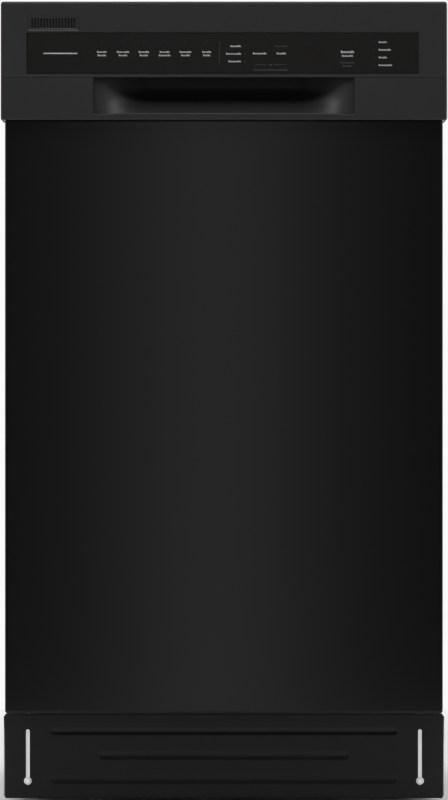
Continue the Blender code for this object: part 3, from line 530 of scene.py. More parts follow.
def rounded(low: Sequence[float], high: Sequence[float], radius: float, steps: int = 6) -> Array:
    """A rounded rectangle as a loop of flat points, four quarter circles joined by straight sides.

    Args:
        low: its lowest corner in the plane.
        high: its highest corner in the plane.
        radius: the corners' radius.
        steps: facets of a quarter circle.
    Returns:
        (4 (steps + 1), 2) points, anticlockwise from the lower right corner's arc."""
    radius = min(radius, (high[0] - low[0]) / 2 - 1e-5, (high[1] - low[1]) / 2 - 1e-5)
    quarter = np.linspace(-math.pi / 2, 0, steps + 1)
    turns = (quarter[None, :] + np.arange(4)[:, None] * math.pi / 2)[..., None]
    centres = np.array((
        (high[0] - radius, low[1] + radius), (high[0] - radius, high[1] - radius),
        (low[0] + radius, high[1] - radius), (low[0] + radius, low[1] + radius),
    ))[:, None]
    return (centres + radius * np.concatenate((np.cos(turns), np.sin(turns)), axis=-1)).reshape(-1, 2)


def grown(low: Sequence[float], high: Sequence[float], by: float, radius: float, steps: int = 6) -> Array:
    """A rounded rectangle moved outwards by a distance, with its corners' radius grown to match."""
    return rounded((low[0] - by, low[1] - by), (high[0] + by, high[1] + by), max(radius + by, 1e-5), steps)


def upright(loop: Array, y: float) -> Array:
    """Flat (x, z) points stood up in the plane at y."""
    return np.column_stack((loop[:, 0], np.full(len(loop), y), loop[:, 1]))


def level(loop: Array, z: float) -> Array:
    """Flat (x, y) points laid in the plane at z."""
    return np.column_stack((loop, np.full(len(loop), z)))


def sideways(loop: Array, x: float) -> Array:
    """Flat (y, z) points stood up in the plane at x."""
    return np.column_stack((np.full(len(loop), x), loop))


def circle(centre: Sequence[float], radius: float | Array, steps: int) -> Array:
    """Flat points round a circle, or round a curve whose radius changes from point to point.

    Args:
        centre: its middle; further coordinates are left out.
        radius: one radius, or one for each point.
        steps: how many points.
    Returns:
        (steps, 2) points."""
    angle = np.linspace(0, 2 * math.pi, steps, endpoint=False)
    return np.column_stack((centre[0] + radius * np.cos(angle), centre[1] + radius * np.sin(angle)))


def rolled(radius: float) -> list[tuple[float, float]]:
    """A quarter circle as pairs: the way gone along one direction, the way still to go along the other."""
    return [(radius * (1 - math.cos(t)), radius * (1 - math.sin(t))) for t in QUARTER]


def mirrored(profile: Sequence[tuple[float, float]], side: float) -> list[tuple[float, float]]:
    """A turned profile on the right (side 1) or on the left (side -1)."""
    return [(radius, side * along) for radius, along in profile]


def smooth(value: Array, start: float, end: float) -> Array:
    """A smooth ramp from 0 at start to 1 at end: 3 t^2 - 2 t^3."""
    t = np.clip((value - start) / (end - start), 0, 1)
    return t * t * (3 - 2 * t)


def plateau(value: Array, low: float, high: float, ramp: float) -> Array:
    """1 between low and high, falling smoothly to 0 over a ramp on both sides."""
    return smooth(value, low - ramp, low) * (1 - smooth(value, high, high + ramp))


def notch(left: float, right: float, mouth: float, end: float, radius: float, steps: int = 8) -> Array:
    """An open path of flat (x, z) points: in from the mouth, round a corner, across, round, and out again.

    Args:
        left, right: the notch's sides.
        mouth: the height where it opens.
        end: the height of its closed end, above or below the mouth.
        radius: its corners' radius.
        steps: facets of a corner.
    Returns:
        The points from (left, mouth) to (right, mouth)."""
    way = math.copysign(1.0, end - mouth)
    angle = np.linspace(0, math.pi / 2, steps + 1)
    rise = end - way * radius + way * radius * np.sin(angle)
    first = np.column_stack((left + radius - radius * np.cos(angle), rise))
    second = np.column_stack((right - radius + radius * np.cos(angle[::-1]), first[::-1, 1]))
    return np.vstack(((left, mouth), first, second, (right, mouth)))


def u_path(half: float, face: float, back: float, radius: float, steps: int = 6) -> Array:
    """A flat (x, y) path round the front of a pan: side, quarter circle, front, quarter circle, side.

    Args:
        half: half the width.
        face: y of the front.
        back: y where both sides end.
        radius: the radius of the two front corners.
        steps: facets of a corner.
    Returns:
        The points from the right side's back end to the left side's."""
    angle = np.linspace(0, math.pi / 2, steps + 1)
    right = np.column_stack((half - radius + radius * np.cos(angle), face + radius - radius * np.sin(angle)))
    right = np.vstack(((half, back), right))
    return np.vstack((right, right[::-1] * (-1, 1)))

# Door


@dataclass
class Console:
    """The moulded console: a lower part with the pocket, a sloped ridge, and an upper part set back."""

    wall: float = 0.0014
    corner: float = 0.0030
    crown: float = 0.0026
    lip: float = 0.0020
    step: float = 0.0004
    ridge: float = 0.0030
    groove: float = 0.0005
    groove_depth: float = 0.0007
    clearance: float = 0.0003
    frame_left: float = 0.0010
    frame_right: float = 0.0040
    frame_top: float = 0.0013
    frame_depth: float = 0.0011
    rim: float = 0.0009
    pocket_corner: float = 0.0030
    pocket_dip: float = 0.0014
    pocket_depth: float = 0.0042
    dip_start: float = 0.100
    dip_run: float = 0.028
    vent_width: float = 0.0527
    vent_low: float = 0.7770
    vent_high: float = 0.7924
    vent_corner: float = 0.0016
    vent_dish: float = 0.0013
    vent_slots: int = 15
    vent_pitch: float = 0.00304
    vent_slot: float = 0.0016

    def __post_init__(self) -> None:
        """Reads the places that the frame gives."""
        self.low, self.high = corners("console_shell")
        self.overlay = corners("control_overlay")
        scoop = corners("handle_scoop")
        self.face = self.low[1]
        self.upper_face = self.face + self.step
        self.edge = self.high[0] - self.corner
        self.pocket_half = scoop[1][0] - 0.0025
        self.pocket_low = scoop[0][2] + 0.0020
        self.ledge = self.overlay[0][2] - self.clearance
        self.seam = self.ledge - self.ridge
        self.vent_left = self.overlay[0][0] - self.clearance

    def skin(self, rows: Sequence[tuple[float, float, float]]) -> Array:
        """Stacks U paths, one for each (height, front inset, side inset).

        Args:
            rows: the heights and insets.
        Returns:
            (rows, points, 3) points."""
        half, back = self.high[0], self.high[1]
        return np.array([
            level(u_path(half - side, self.face + front, back, max(self.corner - side, 0.0004)), height)
            for height, front, side in rows
        ])

    def body(self) -> None:
        """The shell: lip, lower face with the pocket, ridge, upper face with frame and vent, and crown."""
        lip = [(self.low[2] + rise, inset, inset) for rise, inset in rolled(self.lip)]
        crown = [(self.high[2] - short, self.step + inset, inset) for inset, short in rolled(self.crown)]
        low, high, deep = self.seam - self.groove, self.seam, self.groove_depth
        groove = ((low, 0.0, 0.0), (low, deep, 0.0), (high, deep, 0.0), (high, 0.0, 0.0))
        stack = self.skin([*lip, *groove, (self.ledge, self.step, 0.0), *crown])
        middle = stack.shape[1] // 2
        front = stack[:, middle - 1:middle + 1]
        shape = Shape().grid(stack[:, :middle]).grid(stack[:, middle:])
        shape.grid(front[:len(lip)]).grid(front[-len(crown):])
        shape.add(stack[-1], [list(range(stack.shape[1]))])
        self.lower_face(shape, lip[-1][0])
        self.parting_groove(shape)
        self.ridge_and_upper_face(shape, crown[0][0])
        piece = shape.build("console_body", CONSOLE_BLACK, toward=(0, -1, 0), wall=self.wall)
        seat(piece, "door", CONSOLE_BLACK, "console_shell")

    def pocket_edge(self, out: float) -> Array:
        """The pocket's outline grown by a distance; its floor dips near both ends.

        Args:
            out: the distance.
        Returns:
            Flat (x, z) points from its upper left to its upper right corner."""
        half = self.pocket_half + out
        bend = 9
        path = notch(
            -half, half, self.seam - self.groove, self.pocket_low - out, self.pocket_corner + out, bend - 1
        )
        floor = np.linspace(path[bend], path[bend + 1], 41)[1:-1]
        path = np.vstack((path[:bend + 1], floor, path[bend + 1:]))
        near_end = np.clip((np.abs(path[:, 0]) - self.dip_start) / self.dip_run, 0, 1)
        near_floor = np.clip((self.seam - path[:, 1]) / (self.seam - self.pocket_low), 0, 1)
        path[:, 1] -= self.pocket_dip * near_end ** 2 * (3 - 2 * near_end) * near_floor ** 2
        return path

    def lower_face(self, shape: Shape, bottom: float) -> None:
        """The flat face under the seam, notched by the pocket, whose rim turns inwards on a quarter circle.

        Args:
            shape: the console that it joins.
            bottom: the height of its lower edge."""
        top = self.seam - self.groove
        notched = self.pocket_edge(self.rim)[::-1]
        outline = np.vstack((
            (-self.edge, bottom), (self.edge, bottom), (self.edge, top), notched, (-self.edge, top)
        ))
        shape.flat(upright(outline, self.face))
        rows = [upright(self.pocket_edge(out), self.face + deep) for deep, out in rolled(self.rim)]
        rows.append(upright(self.pocket_edge(0.0), self.face + self.pocket_depth))
        shape.grid(np.array(rows))

    def parting_groove(self, shape: Shape) -> None:
        """The fine groove beside the pocket, and the pocket's flat roof under the ridge."""
        low, high, face = self.seam - self.groove, self.seam, self.face
        deep = face + self.groove_depth
        inner = self.pocket_half + self.rim
        section = np.array(((face, low), (deep, low), (deep, high), (face, high)))
        for near, far in ((-self.edge, -inner), (inner, self.edge)):
            shape.grid(np.array([sideways(section, x) for x in (near, far)]))
        roof = np.array(((face, high), (face + self.pocket_depth, high)))
        shape.grid(np.array([sideways(roof, x) for x in (-inner, inner)]))

    def ridge_and_upper_face(self, shape: Shape, top: float) -> None:
        """The ridge, the upper face, the chamfered frame round the overlay, and the vent.

        Args:
            shape: the console that they join.
            top: the height of the upper face's top edge."""
        (left, _, _), (right, _, high) = self.overlay
        gap, edge, face = self.clearance, self.edge, self.upper_face
        outer = notch(
            left - self.frame_left, right + self.frame_right, self.ledge, high + self.frame_top, 0.0012
        )
        inner = notch(left - gap, right + gap, self.ledge, high + gap, 0.0006)
        pocket = self.pocket_half + self.rim
        lower = [(x, self.face, self.seam) for x in (-edge, -pocket, pocket, edge)]
        upper = [(x, face, self.ledge) for x in (edge, outer[-1, 0], outer[0, 0], -edge)]
        shape.flat(np.array([*lower, *upper]))
        outline = np.vstack(((-edge, self.ledge), outer, (edge, self.ledge), (edge, top), (-edge, top)))
        low, high = (self.vent_left, self.vent_low), (self.vent_left + self.vent_width, self.vent_high)
        shape.flat(upright(outline, face), upright(rounded(low, high, self.vent_corner), face))
        deep = face + self.frame_depth
        shape.loft([upright(outer, face), upright(inner, deep), upright(inner, deep + 0.0022)], ends=False)
        self.vent(shape, low, high)

    def vent(self, shape: Shape, low: tuple[float, float], high: tuple[float, float]) -> None:
        """The vent's recess: its depth grows as the root of the distance from its edge, to a slotted floor.

        Args:
            shape: the console that it joins.
            low, high: its lower left and its upper right corner."""
        floor = self.upper_face + self.vent_dish
        rows = [
            upright(
                grown(low, high, -self.vent_corner * share, self.vent_corner),
                self.upper_face + self.vent_dish * math.sqrt(share),
            )
            for share in np.linspace(0, 1, 5)
        ]
        shape.loft(rows, ends=False)
        half = self.vent_slot / 2
        first = (low[0] + high[0]) / 2 - self.vent_pitch * (self.vent_slots - 1) / 2
        slots = [
            upright(rounded((x - half, low[1] + 0.0030), (x + half, high[1] - 0.0021), 0.0006, 3), floor)
            for x in first + self.vent_pitch * np.arange(self.vent_slots)
        ]
        shape.flat(rows[-1], *slots)

    def vent_shade(self) -> None:
        """A black sheet behind the vent's slots: painted shade, so the slots read as dark as the shaded
        inside of the console.
        """
        left, right = self.overlay[0][0] - 0.002, self.overlay[0][0] + self.vent_width + 0.002
        deep = self.upper_face + 0.0045
        shape = Shape().block(
            (left, deep, self.vent_low - 0.002), (right, deep + 0.0010, self.vent_high + 0.002)
        )
        # black sheet: painted shade seen through the vent's slots
        seat(shape.build("vent_painted_shade_sheet", BLACK, ease=0.0003), "door", BLACK)

    def dress(self) -> None:
        """Makes the whole console."""
        self.body()
        self.vent_shade()


@dataclass
class HandlePocket:
    """The insert behind the pocket: a surface whose depth ramps in from both ends and from its floor."""

    columns: int = 180
    rows: int = 44
    rim: float = 0.0025
    end_ramp: float = 0.058
    floor_ramp: float = 0.60
    roof_ramp: float = 0.08
    wall: float = 0.0010

    def dress(self) -> None:
        """Depth is half of 1 - cosine from the ends, times a sine from the floor and a root from the roof."""
        low, high = corners("handle_scoop")
        half = high[0] - self.rim
        bottom, top = low[2] + 0.001, high[2] - 0.001
        mouth, depth = low[1] + 0.0001, high[1] - low[1] - 0.0015
        outer = half + self.rim - 0.0004
        across = np.concatenate(((-outer,), np.linspace(-half, half, self.columns), (outer,)))
        up = np.concatenate(((bottom - 0.0008,), np.linspace(bottom, top, self.rows), (top + 0.0008,)))
        x, z = np.meshgrid(across, up)
        share = np.clip((z - bottom) / (top - bottom), 0, 1)
        end = np.clip((half - np.abs(x)) / self.end_ramp, 0, 1)
        floor = np.clip(share / self.floor_ramp, 0, 1)
        roof = np.clip((1 - share) / self.roof_ramp, 0, 1)
        y = mouth + depth * (1 - np.cos(end * math.pi)) / 2 * np.sin(floor * math.pi / 2) * np.sqrt(roof)
        shape = Shape().grid(np.stack((x, y, z), axis=-1))
        piece = shape.build("pocket_insert", POCKET_BLACK, toward=(0, -1, 0), wall=self.wall, sharp=60)
        seat(piece, "door", POCKET_BLACK, "handle_scoop")


@dataclass
class ControlStrip:
    """The glossy overlay with its printed marks, small lights and dark window.

    Words are drawn as rows of plain blocks, so that nothing can be read."""

    edge: float = 0.0002
    corner: float = 0.0009
    print_height: float = 0.00006
    letter: float = 0.0010
    letter_gap: float = 0.00042
    line_height: float = 0.0019
    small_letter: float = 0.72
    spot: float = 0.0006
    list_pitch: float = 0.0076
    status_pitch: float = 0.0077
    key_words: tuple[tuple[str, float, float], ...] = (
        ("key_heavy", 0.0096, 0.0082), ("key_normal", 0.0122, 0.0084), ("key_quick", 0.0104, 0.0080),
        ("key_glass", 0.0098, 0.0114), ("key_eco", 0.0116, 0.0086), ("key_rinse", 0.0086, 0.0070),
    )

    def __post_init__(self) -> None:
        """Reads the overlay's place and the keys' middles from the frame."""
        self.low, self.high = corners("control_overlay")
        self.face = self.low[1]
        self.centre = (self.low[2] + self.high[2]) / 2
        self.key = {name: float(sum(corners(name))[0] / 2) for name in BODY_OF if name.startswith("key_")}

    def pad(self, shape: Shape, low: Sequence[float], high: Sequence[float], radius: float,
            steps: int = 2) -> None:
        """Adds one printed mark: a rounded rectangle that stands just proud of the overlay.

        Args:
            shape: the print that it joins.
            low, high: its corners.
            radius: the radius of its corners.
            steps: facets of a corner."""
        loop = rounded(low, high, radius, steps)
        shape.loft([upright(loop, y) for y in (self.face + 0.00002, self.face - self.print_height)])

    def bar(self, shape: Shape, x: float, z: float, half: tuple[float, float], radius: float) -> None:
        """Adds a mark round a middle, by its half width and half height."""
        self.pad(shape, (x - half[0], z - half[1]), (x + half[0], z + half[1]), radius)

    def light(self, shape: Shape, x: float, z: float) -> None:
        """Adds a small round light."""
        r = self.spot
        self.pad(shape, (x - r, z - r), (x + r, z + r), r, 4)

    def word(self, shape: Shape, x: float, z: float, width: float, align: float = 0.5,
             height: float | None = None) -> None:
        """Adds one line of blocks as wide as a word, with two tall ones among them.

        Args:
            shape: the print that it joins.
            x: where the line is set.
            z: the line's middle.
            width: its width.
            align: 0 where x is its left end, 1 where x is its right end.
            height: the tall blocks' height."""
        height = height or self.line_height
        count = max(2, round(width / (self.letter + self.letter_gap)))
        pitch = (width + self.letter_gap) / count
        start, foot = x - width * align, z - height / 2
        for index in range(count):
            tall = height * (1.0 if index in (0, count - 2) else self.small_letter)
            left = start + index * pitch
            self.pad(shape, (left, foot), (left + pitch - self.letter_gap, foot + tall), 0.0002, 1)

    def glass(self) -> None:
        """The overlay itself: a thin plate with a rounded rim."""
        low, high = self.low[[0, 2]], self.high[[0, 2]]
        rows = [upright(grown(low, high, 0.0, self.corner), self.high[1])]
        for t in np.linspace(math.pi / 2, 0, 4):
            loop = grown(low, high, -self.edge * (1 - math.sin(t)), self.corner)
            rows.append(upright(loop, self.face + self.edge * (1 - math.cos(t))))
        seat(Shape().loft(rows).build("overlay_glass", GLOSS_BLACK), "door", GLOSS_BLACK, "control_overlay")

    def print(self) -> None:
        """The marks: two lines and a light for each cycle, a bar, a divider, the options and the start."""
        bright, dim, key, centre = Shape(), Shape(), self.key, self.centre
        for name, first, second in self.key_words:
            self.word(bright, key[name], centre + 0.0015, first)
            self.word(bright, key[name], centre - 0.0019, second)
            self.light(dim, key[name], centre + 0.0123)
        self.bar(bright, self.low[0] + 0.0330, centre, (0.0170, 0.0006), 0.0003)
        divider = (key["key_rinse"] + key["key_options"]) / 2 - 0.0137
        self.bar(dim, divider, centre + 0.00075, (0.00025, 0.01155), 0.0002)
        self.options(bright, dim)
        self.start_block(bright, dim)
        seat(bright.build("overlay_print", INK), "door", INK)
        seat(dim.build("overlay_faint_print", DIM_INK), "door", DIM_INK)

    def options(self, bright: Shape, dim: Shape) -> None:
        """The option list with its lights, the words on both option keys, and the lock mark."""
        options, delay = self.key["key_options"], self.key["key_delay"]
        left = options - 0.0190
        for row, width in enumerate((0.0104, 0.0146, 0.0122)):
            z = self.centre + 0.0073 - self.list_pitch * row
            self.word(bright, left, z, width, align=1.0)
            self.light(dim, left + 0.0044, z)
        self.word(bright, options, self.centre, 0.0132)
        self.word(bright, delay, self.centre, 0.0092)
        self.word(dim, delay, self.centre + 0.0073, 0.0122)
        self.lock_mark(dim, (options + delay) / 2)

    def start_block(self, bright: Shape, dim: Shape) -> None:
        """The start key's four lines, and the status list with a light before each word."""
        start = self.key["key_start"]
        self.word(bright, start, self.centre + 0.0016, 0.0130, height=0.0026)
        self.word(bright, start, self.centre - 0.0024, 0.0108)
        self.word(dim, start, self.centre - 0.0092, 0.0140)
        self.word(dim, start, self.centre - 0.0126, 0.0092)
        left = start + 0.0260
        for row, width in enumerate((0.0080, 0.0120, 0.0080, 0.0132)):
            z = self.centre + 0.0114 - self.status_pitch * row
            self.light(dim, left, z)
            self.word(bright, left + 0.0054, z, width, align=0.0)

    def lock_mark(self, shape: Shape, x: float) -> None:
        """A plain padlock between two short lines, over a longer line: the usual sign of a key lock."""
        z = self.centre - 0.0112
        self.pad(shape, (x - 0.0012, z - 0.0012), (x + 0.0012, z + 0.0006), 0.0003)
        for side in (-1, 1):
            self.bar(shape, x + side * 0.00925, z, (0.00575, 0.0003), 0.0002)
        self.word(shape, x, z - 0.0052, 0.0340)

    def window(self) -> None:
        """The dark display window, a thin tinted pane."""
        middle = self.key["key_start"] - 0.0335
        low, high = (middle - 0.0121, self.centre - 0.0085), (middle + 0.0121, self.centre + 0.0076)
        shape = Shape()
        self.pad(shape, low, high, 0.0006, 4)
        seat(shape.build("display_window", TINT), "door", TINT)

    def dress(self) -> None:
        """Makes the overlay, its print and its window."""
        self.glass()
        self.print()
        self.window()


@dataclass
class DoorPanel:
    """The enamelled front of the door: a pan with rolled vertical edges and a rolled foot."""

    edge: float = 0.0032
    wall: float = 0.0009

    def dress(self) -> None:
        """Stacks U paths from the foot's roll to the top; the foot's inset follows a quarter circle."""
        low, high = corners("door_outer_panel")
        rows = []
        for t in np.linspace(0, math.pi / 2, 7):
            inset = self.edge * (1 - math.sin(t))
            path = u_path(high[0] - inset, low[1] + inset, high[1], max(self.edge - inset, 0.0003))
            rows.append(level(path, low[2] + self.edge * (1 - math.cos(t))))
        rows.append(level(path, high[2]))
        shape = Shape().grid(np.array(rows))
        shape.add(rows[0], [list(range(len(rows[0])))])
        piece = shape.build("door_front", ENAMEL, toward=(0, -1, 0), wall=self.wall, sharp=50)
        seat(piece, "door", ENAMEL, "door_outer_panel")


# Kick plate


@dataclass
class KickPlate:
    """The kick plate: a folded sheet with three pressed channels, a slot at each end, and two screws."""

    corner: float = 0.0018
    edge: float = 0.0010
    wall: float = 0.0012
    channel_depth: float = 0.0010
    channels: tuple[tuple[float, float, float], ...] = (
        (0.1775, 0.0656, 0.0748), (0.1287, 0.0402, 0.0514), (0.1775, 0.0158, 0.0270),
    )
    slot_low: float = 0.0155
    slot_high: float = 0.0723
    slot_radius: float = 0.0019
    fold: float = 0.0022
    rise: float = 0.0012
    shank: float = 0.0018
    head: float = 0.0032
    dome: float = 0.0031
    dome_end: float = 1.15
    socket: float = 0.0013

    def plate(self) -> None:
        """The face with its channels and slots, its rolled edges and its side folds."""
        low, high = corners("toe_kick_panel")
        face, back = low[1], high[1]
        flat_low, flat_high = low[[0, 2]], high[[0, 2]] + (0.0, self.rise)
        shape = Shape()
        holes = [self.channel(shape, *channel, face) for channel in self.channels]
        r = self.slot_radius
        screw = float(abs(sum(corners("kick_screw_right"))[0] / 2))
        for x in (-screw, screw):
            holes.append(upright(rounded((x - r, self.slot_low), (x + r, self.slot_high), r), face))
        rows = [
            upright(grown(flat_low, flat_high, -inset, self.corner), face + deep)
            for deep, inset in rolled(self.edge)
        ]
        rows.append(upright(grown(flat_low, flat_high, 0.0, self.corner), face + self.fold))
        shape.flat(rows[0], *holes)
        shape.loft(rows, ends=False)
        heights = (low[2] + self.corner, high[2] - self.corner)
        for x in (-high[0], high[0]):
            shape.grid(np.array([[(x, face + self.fold, z), (x, back - 0.0004, z)] for z in heights]))
        piece = shape.build("kick_plate", KICK_BLACK, toward=(0, -1, 0), wall=self.wall, sharp=40)
        seat(piece, "toe_kick_panel", KICK_BLACK, "toe_kick_panel")

    def channel(self, shape: Shape, half: float, bottom: float, top: float, face: float) -> Loop:
        """Adds one pressed channel: nested pill loops whose depth follows half a cosine wave.

        Args:
            shape: the plate that it joins.
            half, bottom, top: the pill's half width and its heights.
            face: y of the plate.
        Returns:
            The pill's outer loop, which is the hole that it leaves in the face."""
        reach = (top - bottom) / 2
        rows = []
        for share in np.linspace(0, 1, 9):
            inset = share * (reach - 0.0003)
            depth = self.channel_depth * (1 - math.cos(math.pi * share)) / 2
            loop = rounded((-half + inset, bottom + inset), (half - inset, top - inset), reach)
            rows.append(upright(loop, face + depth))
        shape.loft(rows, ends=False)
        shape.add(rows[-1], [list(range(len(rows[-1])))])
        return rows[0]

    def screw(self, side: str) -> None:
        """A pan-head screw: a domed head that dips to a hexagon socket, and a shank.

        Args:
            side: left or right."""
        node = f"kick_screw_{side}"
        low, high = corners(node)
        x, z = (low[0] + high[0]) / 2, (low[2] + high[2]) / 2
        radius, face = (high[0] - low[0]) / 2, low[1]
        turns = np.linspace(0.15, self.dome_end, 8)
        head = [(radius * math.cos(t), self.head - self.dome * math.sin(t)) for t in turns]
        profile = ((0.0, 0.0122), (self.shank, 0.0093), (self.shank, self.head), (radius, self.head), *head)
        shape = Shape().lathe(profile, (x, face, z), "Y", 36)
        angle = np.linspace(0, 2 * math.pi, 36, endpoint=False)
        hexagon = self.socket / np.cos((angle % (math.pi / 3)) - math.pi / 6)
        rings = [
            upright(circle((z, x), reach, 36)[:, ::-1], face + distance)
            for reach, distance in (head[-1], (hexagon, 0.0004), (hexagon, 0.0022))
        ]
        shape.grid(np.array(rings), wrap_columns=True)
        shape.add(rings[-1], [list(range(36))])
        # the head's faint glow is a painted highlight
        seat(shape.build(f"kick_plate_screw_{side}", SCREW_PAINTED_HIGHLIGHT), "cabinet", SCREW_PAINTED_HIGHLIGHT, node)

    def dress(self) -> None:
        """Makes the plate and its screws."""
        self.plate()
        self.screw("left")
        self.screw("right")


# Inside of the door


@dataclass
class DoorLiner:
    """The stainless inner door: a flanged rim, a rolled step up to a raised middle, and two openings."""

    corner: float = 0.006
    roll: float = 0.0030
    wall: float = 0.0008
    rim_side: float = 0.0265
    rim_low: float = 0.0270
    rim_high: float = 0.0385
    middle_corner: float = 0.022
    step_run: float = 0.0075
    notch_half: float = 0.2065
    notch_high: float = 0.140
    latch_low: tuple[float, float] = (-0.010, 0.7855)
    latch_high: tuple[float, float] = (0.010, 0.7975)
    hole_inset: float = 0.0066
    bead: tuple[tuple[float, float], ...] = (
        (0.030, 0.0), (0.0325, -0.0009), (0.0370, -0.0009), (0.0395, 0.0),
    )

    def outline(self, inset: float) -> Array:
        """The rim's outline moved inwards: a rounded rectangle, its lower corners cut away for the hinges.

        Args:
            inset: how far inwards.
        Returns:
            Flat (x, z) points."""
        low, high = corners("door_inner_liner")
        half, bottom, top = high[0] - inset, low[2] + inset, high[2] - inset
        upper = rounded((-half, bottom), (half, top), self.corner - min(inset, 0.005))[7:21]
        cut, lift = self.notch_half - inset, self.notch_high + inset
        return np.vstack((
            (cut, bottom), (cut, lift), (half, lift), upper, (-half, lift), (-cut, lift), (-cut, bottom),
        ))

    def dress(self) -> None:
        """Rings from the flange's back edge to the rim, then a step whose height is half a cosine wave."""
        low, high = corners("door_inner_liner")
        raised = high[1]
        rim = corners("door_bottom_seal")[0][1] - GAP
        shape = Shape()
        rings = [upright(self.outline(0.0), low[1])]
        rings += [upright(self.outline(inset), rim - short) for inset, short in rolled(self.roll)]
        shape.loft(rings, ends=False)
        inner_low = np.array((-high[0] + self.rim_side, low[2] + self.rim_low))
        inner_high = np.array((high[0] - self.rim_side, high[2] - self.rim_high))
        steps = []
        for share in np.linspace(0, 1, 9):
            loop = grown(inner_low, inner_high, -self.step_run * share, self.middle_corner, 10)
            steps.append(upright(loop, rim + (raised - rim) * (1 - math.cos(math.pi * share)) / 2))
        latch = rounded(self.latch_low, self.latch_high, 0.002, 3)
        shape.flat(rings[-1], steps[0], upright(latch, rim))
        shape.loft(steps, ends=False)
        field = [
            upright(grown(inner_low, inner_high, -inset, self.middle_corner, 10), raised + lift)
            for inset, lift in self.bead
        ]
        shape.flat(steps[-1], field[0])
        shape.loft(field, ends=False)
        hole_low, hole_high = corners("dispenser_body")
        hole = rounded(hole_low[[0, 2]] + self.hole_inset, hole_high[[0, 2]] - self.hole_inset, 0.004)
        shape.flat(field[-1], upright(hole, raised))
        piece = shape.build("inner_door", STEEL, toward=(0, 1, 0), wall=self.wall, sharp=50)
        seat(piece, "door", STEEL, "door_inner_liner")


@dataclass
class Dispenser:
    """The detergent dispenser: its body, a lid between two rails, and a rinse-aid cap with a grip bar."""

    rail_end: float = 0.034
    rib_pitch: float = 0.0045
    rib: float = 0.0012
    margin: float = 0.008
    scallops: int = 24
    ripple: float = 0.0004
    bar_half: tuple[float, float] = (0.013, 0.0025)

    def lid(self) -> None:
        """The lid with its grip ribs, and the two rails that it slides between."""
        high = corners("dispenser_body")[1]
        lid_low, lid_high = corners("detergent_lid")
        rails = Shape()
        for z in (lid_low[2] - 0.0022, lid_high[2] + 0.0004):
            rails.block((lid_low[0], high[1] - 0.0002, z), (self.rail_end, high[1] + 0.0020, z + 0.0018))
        seat(rails.build("lid_rails", GREY, ease=0.0003), "door", GREY)
        eased("detergent_lid", PALE, 0.0006)
        ribs = Shape()
        for x in np.arange(lid_low[0] + self.margin, lid_high[0] - 0.014, self.rib_pitch):
            ribs.block(
                (x, lid_low[1] + 0.0018, lid_low[2] + self.margin),
                (x + self.rib, lid_low[1] + 0.0027, lid_high[2] - self.margin),
            )
        seat(ribs.build("lid_grip_ribs", PALE, ease=0.0003), "detergent_lid", PALE)

    def cap(self) -> None:
        """The cap: a turned disc whose radius swells by the ripple times the cosine of 24 times the angle."""
        low, high = corners("rinse_aid_cap")
        middle = ((low + high) / 2)[[0, 2]]
        wave = self.ripple * np.cos(np.linspace(0, 2 * math.pi * self.scallops, 192, endpoint=False))
        face = low[1]
        shape = Shape().loft([
            upright(circle(middle, radius + wave, 192), face + rise)
            for radius, rise in ((0.0172, 0.0), (0.0174, 0.0020), (0.0164, 0.0030), (0.0150, 0.0030))
        ])
        shape.loft([
            upright(grown(middle - self.bar_half, middle + self.bar_half, by, 0.0020), y)
            for by, y in ((0.0, face + 0.0028), (-0.0002, high[1] - 0.0006), (-0.0008, high[1]))
        ])
        seat(shape.build("rinse_cap", PALE, sharp=40), "rinse_aid_cap", PALE, "rinse_aid_cap")

    def dress(self) -> None:
        """Makes the body, the lid and the cap."""
        eased("dispenser_body", GREY, 0.0006)
        self.lid()
        self.cap()


@dataclass
class Board:
    """The circuit board with a switch and a chip at each pitch, and a pin header at its right end."""

    margin: float = 0.020
    pitch: float = 0.026

    def dress(self) -> None:
        """Eases the board, then sets the parts on its rear face."""
        eased("control_board", BOARD, 0.0002)
        low, high = corners("control_board")
        back = high[1] - 0.0001
        parts = Shape()
        for x in np.arange(low[0] + self.margin, high[0] - self.margin, self.pitch):
            parts.block((x, back, low[2] + 0.006), (x + 0.010, back + 0.0019, low[2] + 0.016))
            parts.block((x + 0.014, back, low[2] + 0.008), (x + 0.018, back + 0.0011, low[2] + 0.011))
        start, end = high[0] - 0.018, high[0] - 0.006
        parts.block((start, back, low[2] + 0.004), (end, back + 0.0076, high[2] - 0.005))
        seat(parts.build("board_components", BLACK, ease=0.0002), "door", BLACK)


# Tub and cabinet


@dataclass
class Gasket:
    """The seal round the tub's mouth: a round bulb between two finer beads."""

    bulb: float = 0.0030
    bead: float = 0.0017
    spacing: float = 0.0037
    turn: float = 0.012
    inset: float = 0.0055

    def path(self, offset: float, y: float) -> Array:
        """An upside-down U: up one side, round two quarter circles, and down the other.

        Args:
            offset: how far outside the middle line it runs.
            y: its depth.
        Returns:
            (n, 3) points."""
        low, high = corners("tub_gasket")
        half, top = high[0] - self.inset + offset, high[2] - self.inset + offset
        return upright(notch(-half, half, low[2] + 0.003, top, self.turn + offset, 10), y)

    def dress(self) -> None:
        """Carries circles along the three paths."""
        back = corners("tub_gasket")[1][1]
        shape = Shape().tube(self.path(0.0, back - self.bulb), self.bulb, 14)
        for offset in (-self.spacing, self.spacing):
            shape.tube(self.path(offset, back - self.bead), self.bead, 10)
        seat(shape.build("mouth_seal", RUBBER, sharp=60), "cabinet", RUBBER, "tub_gasket")


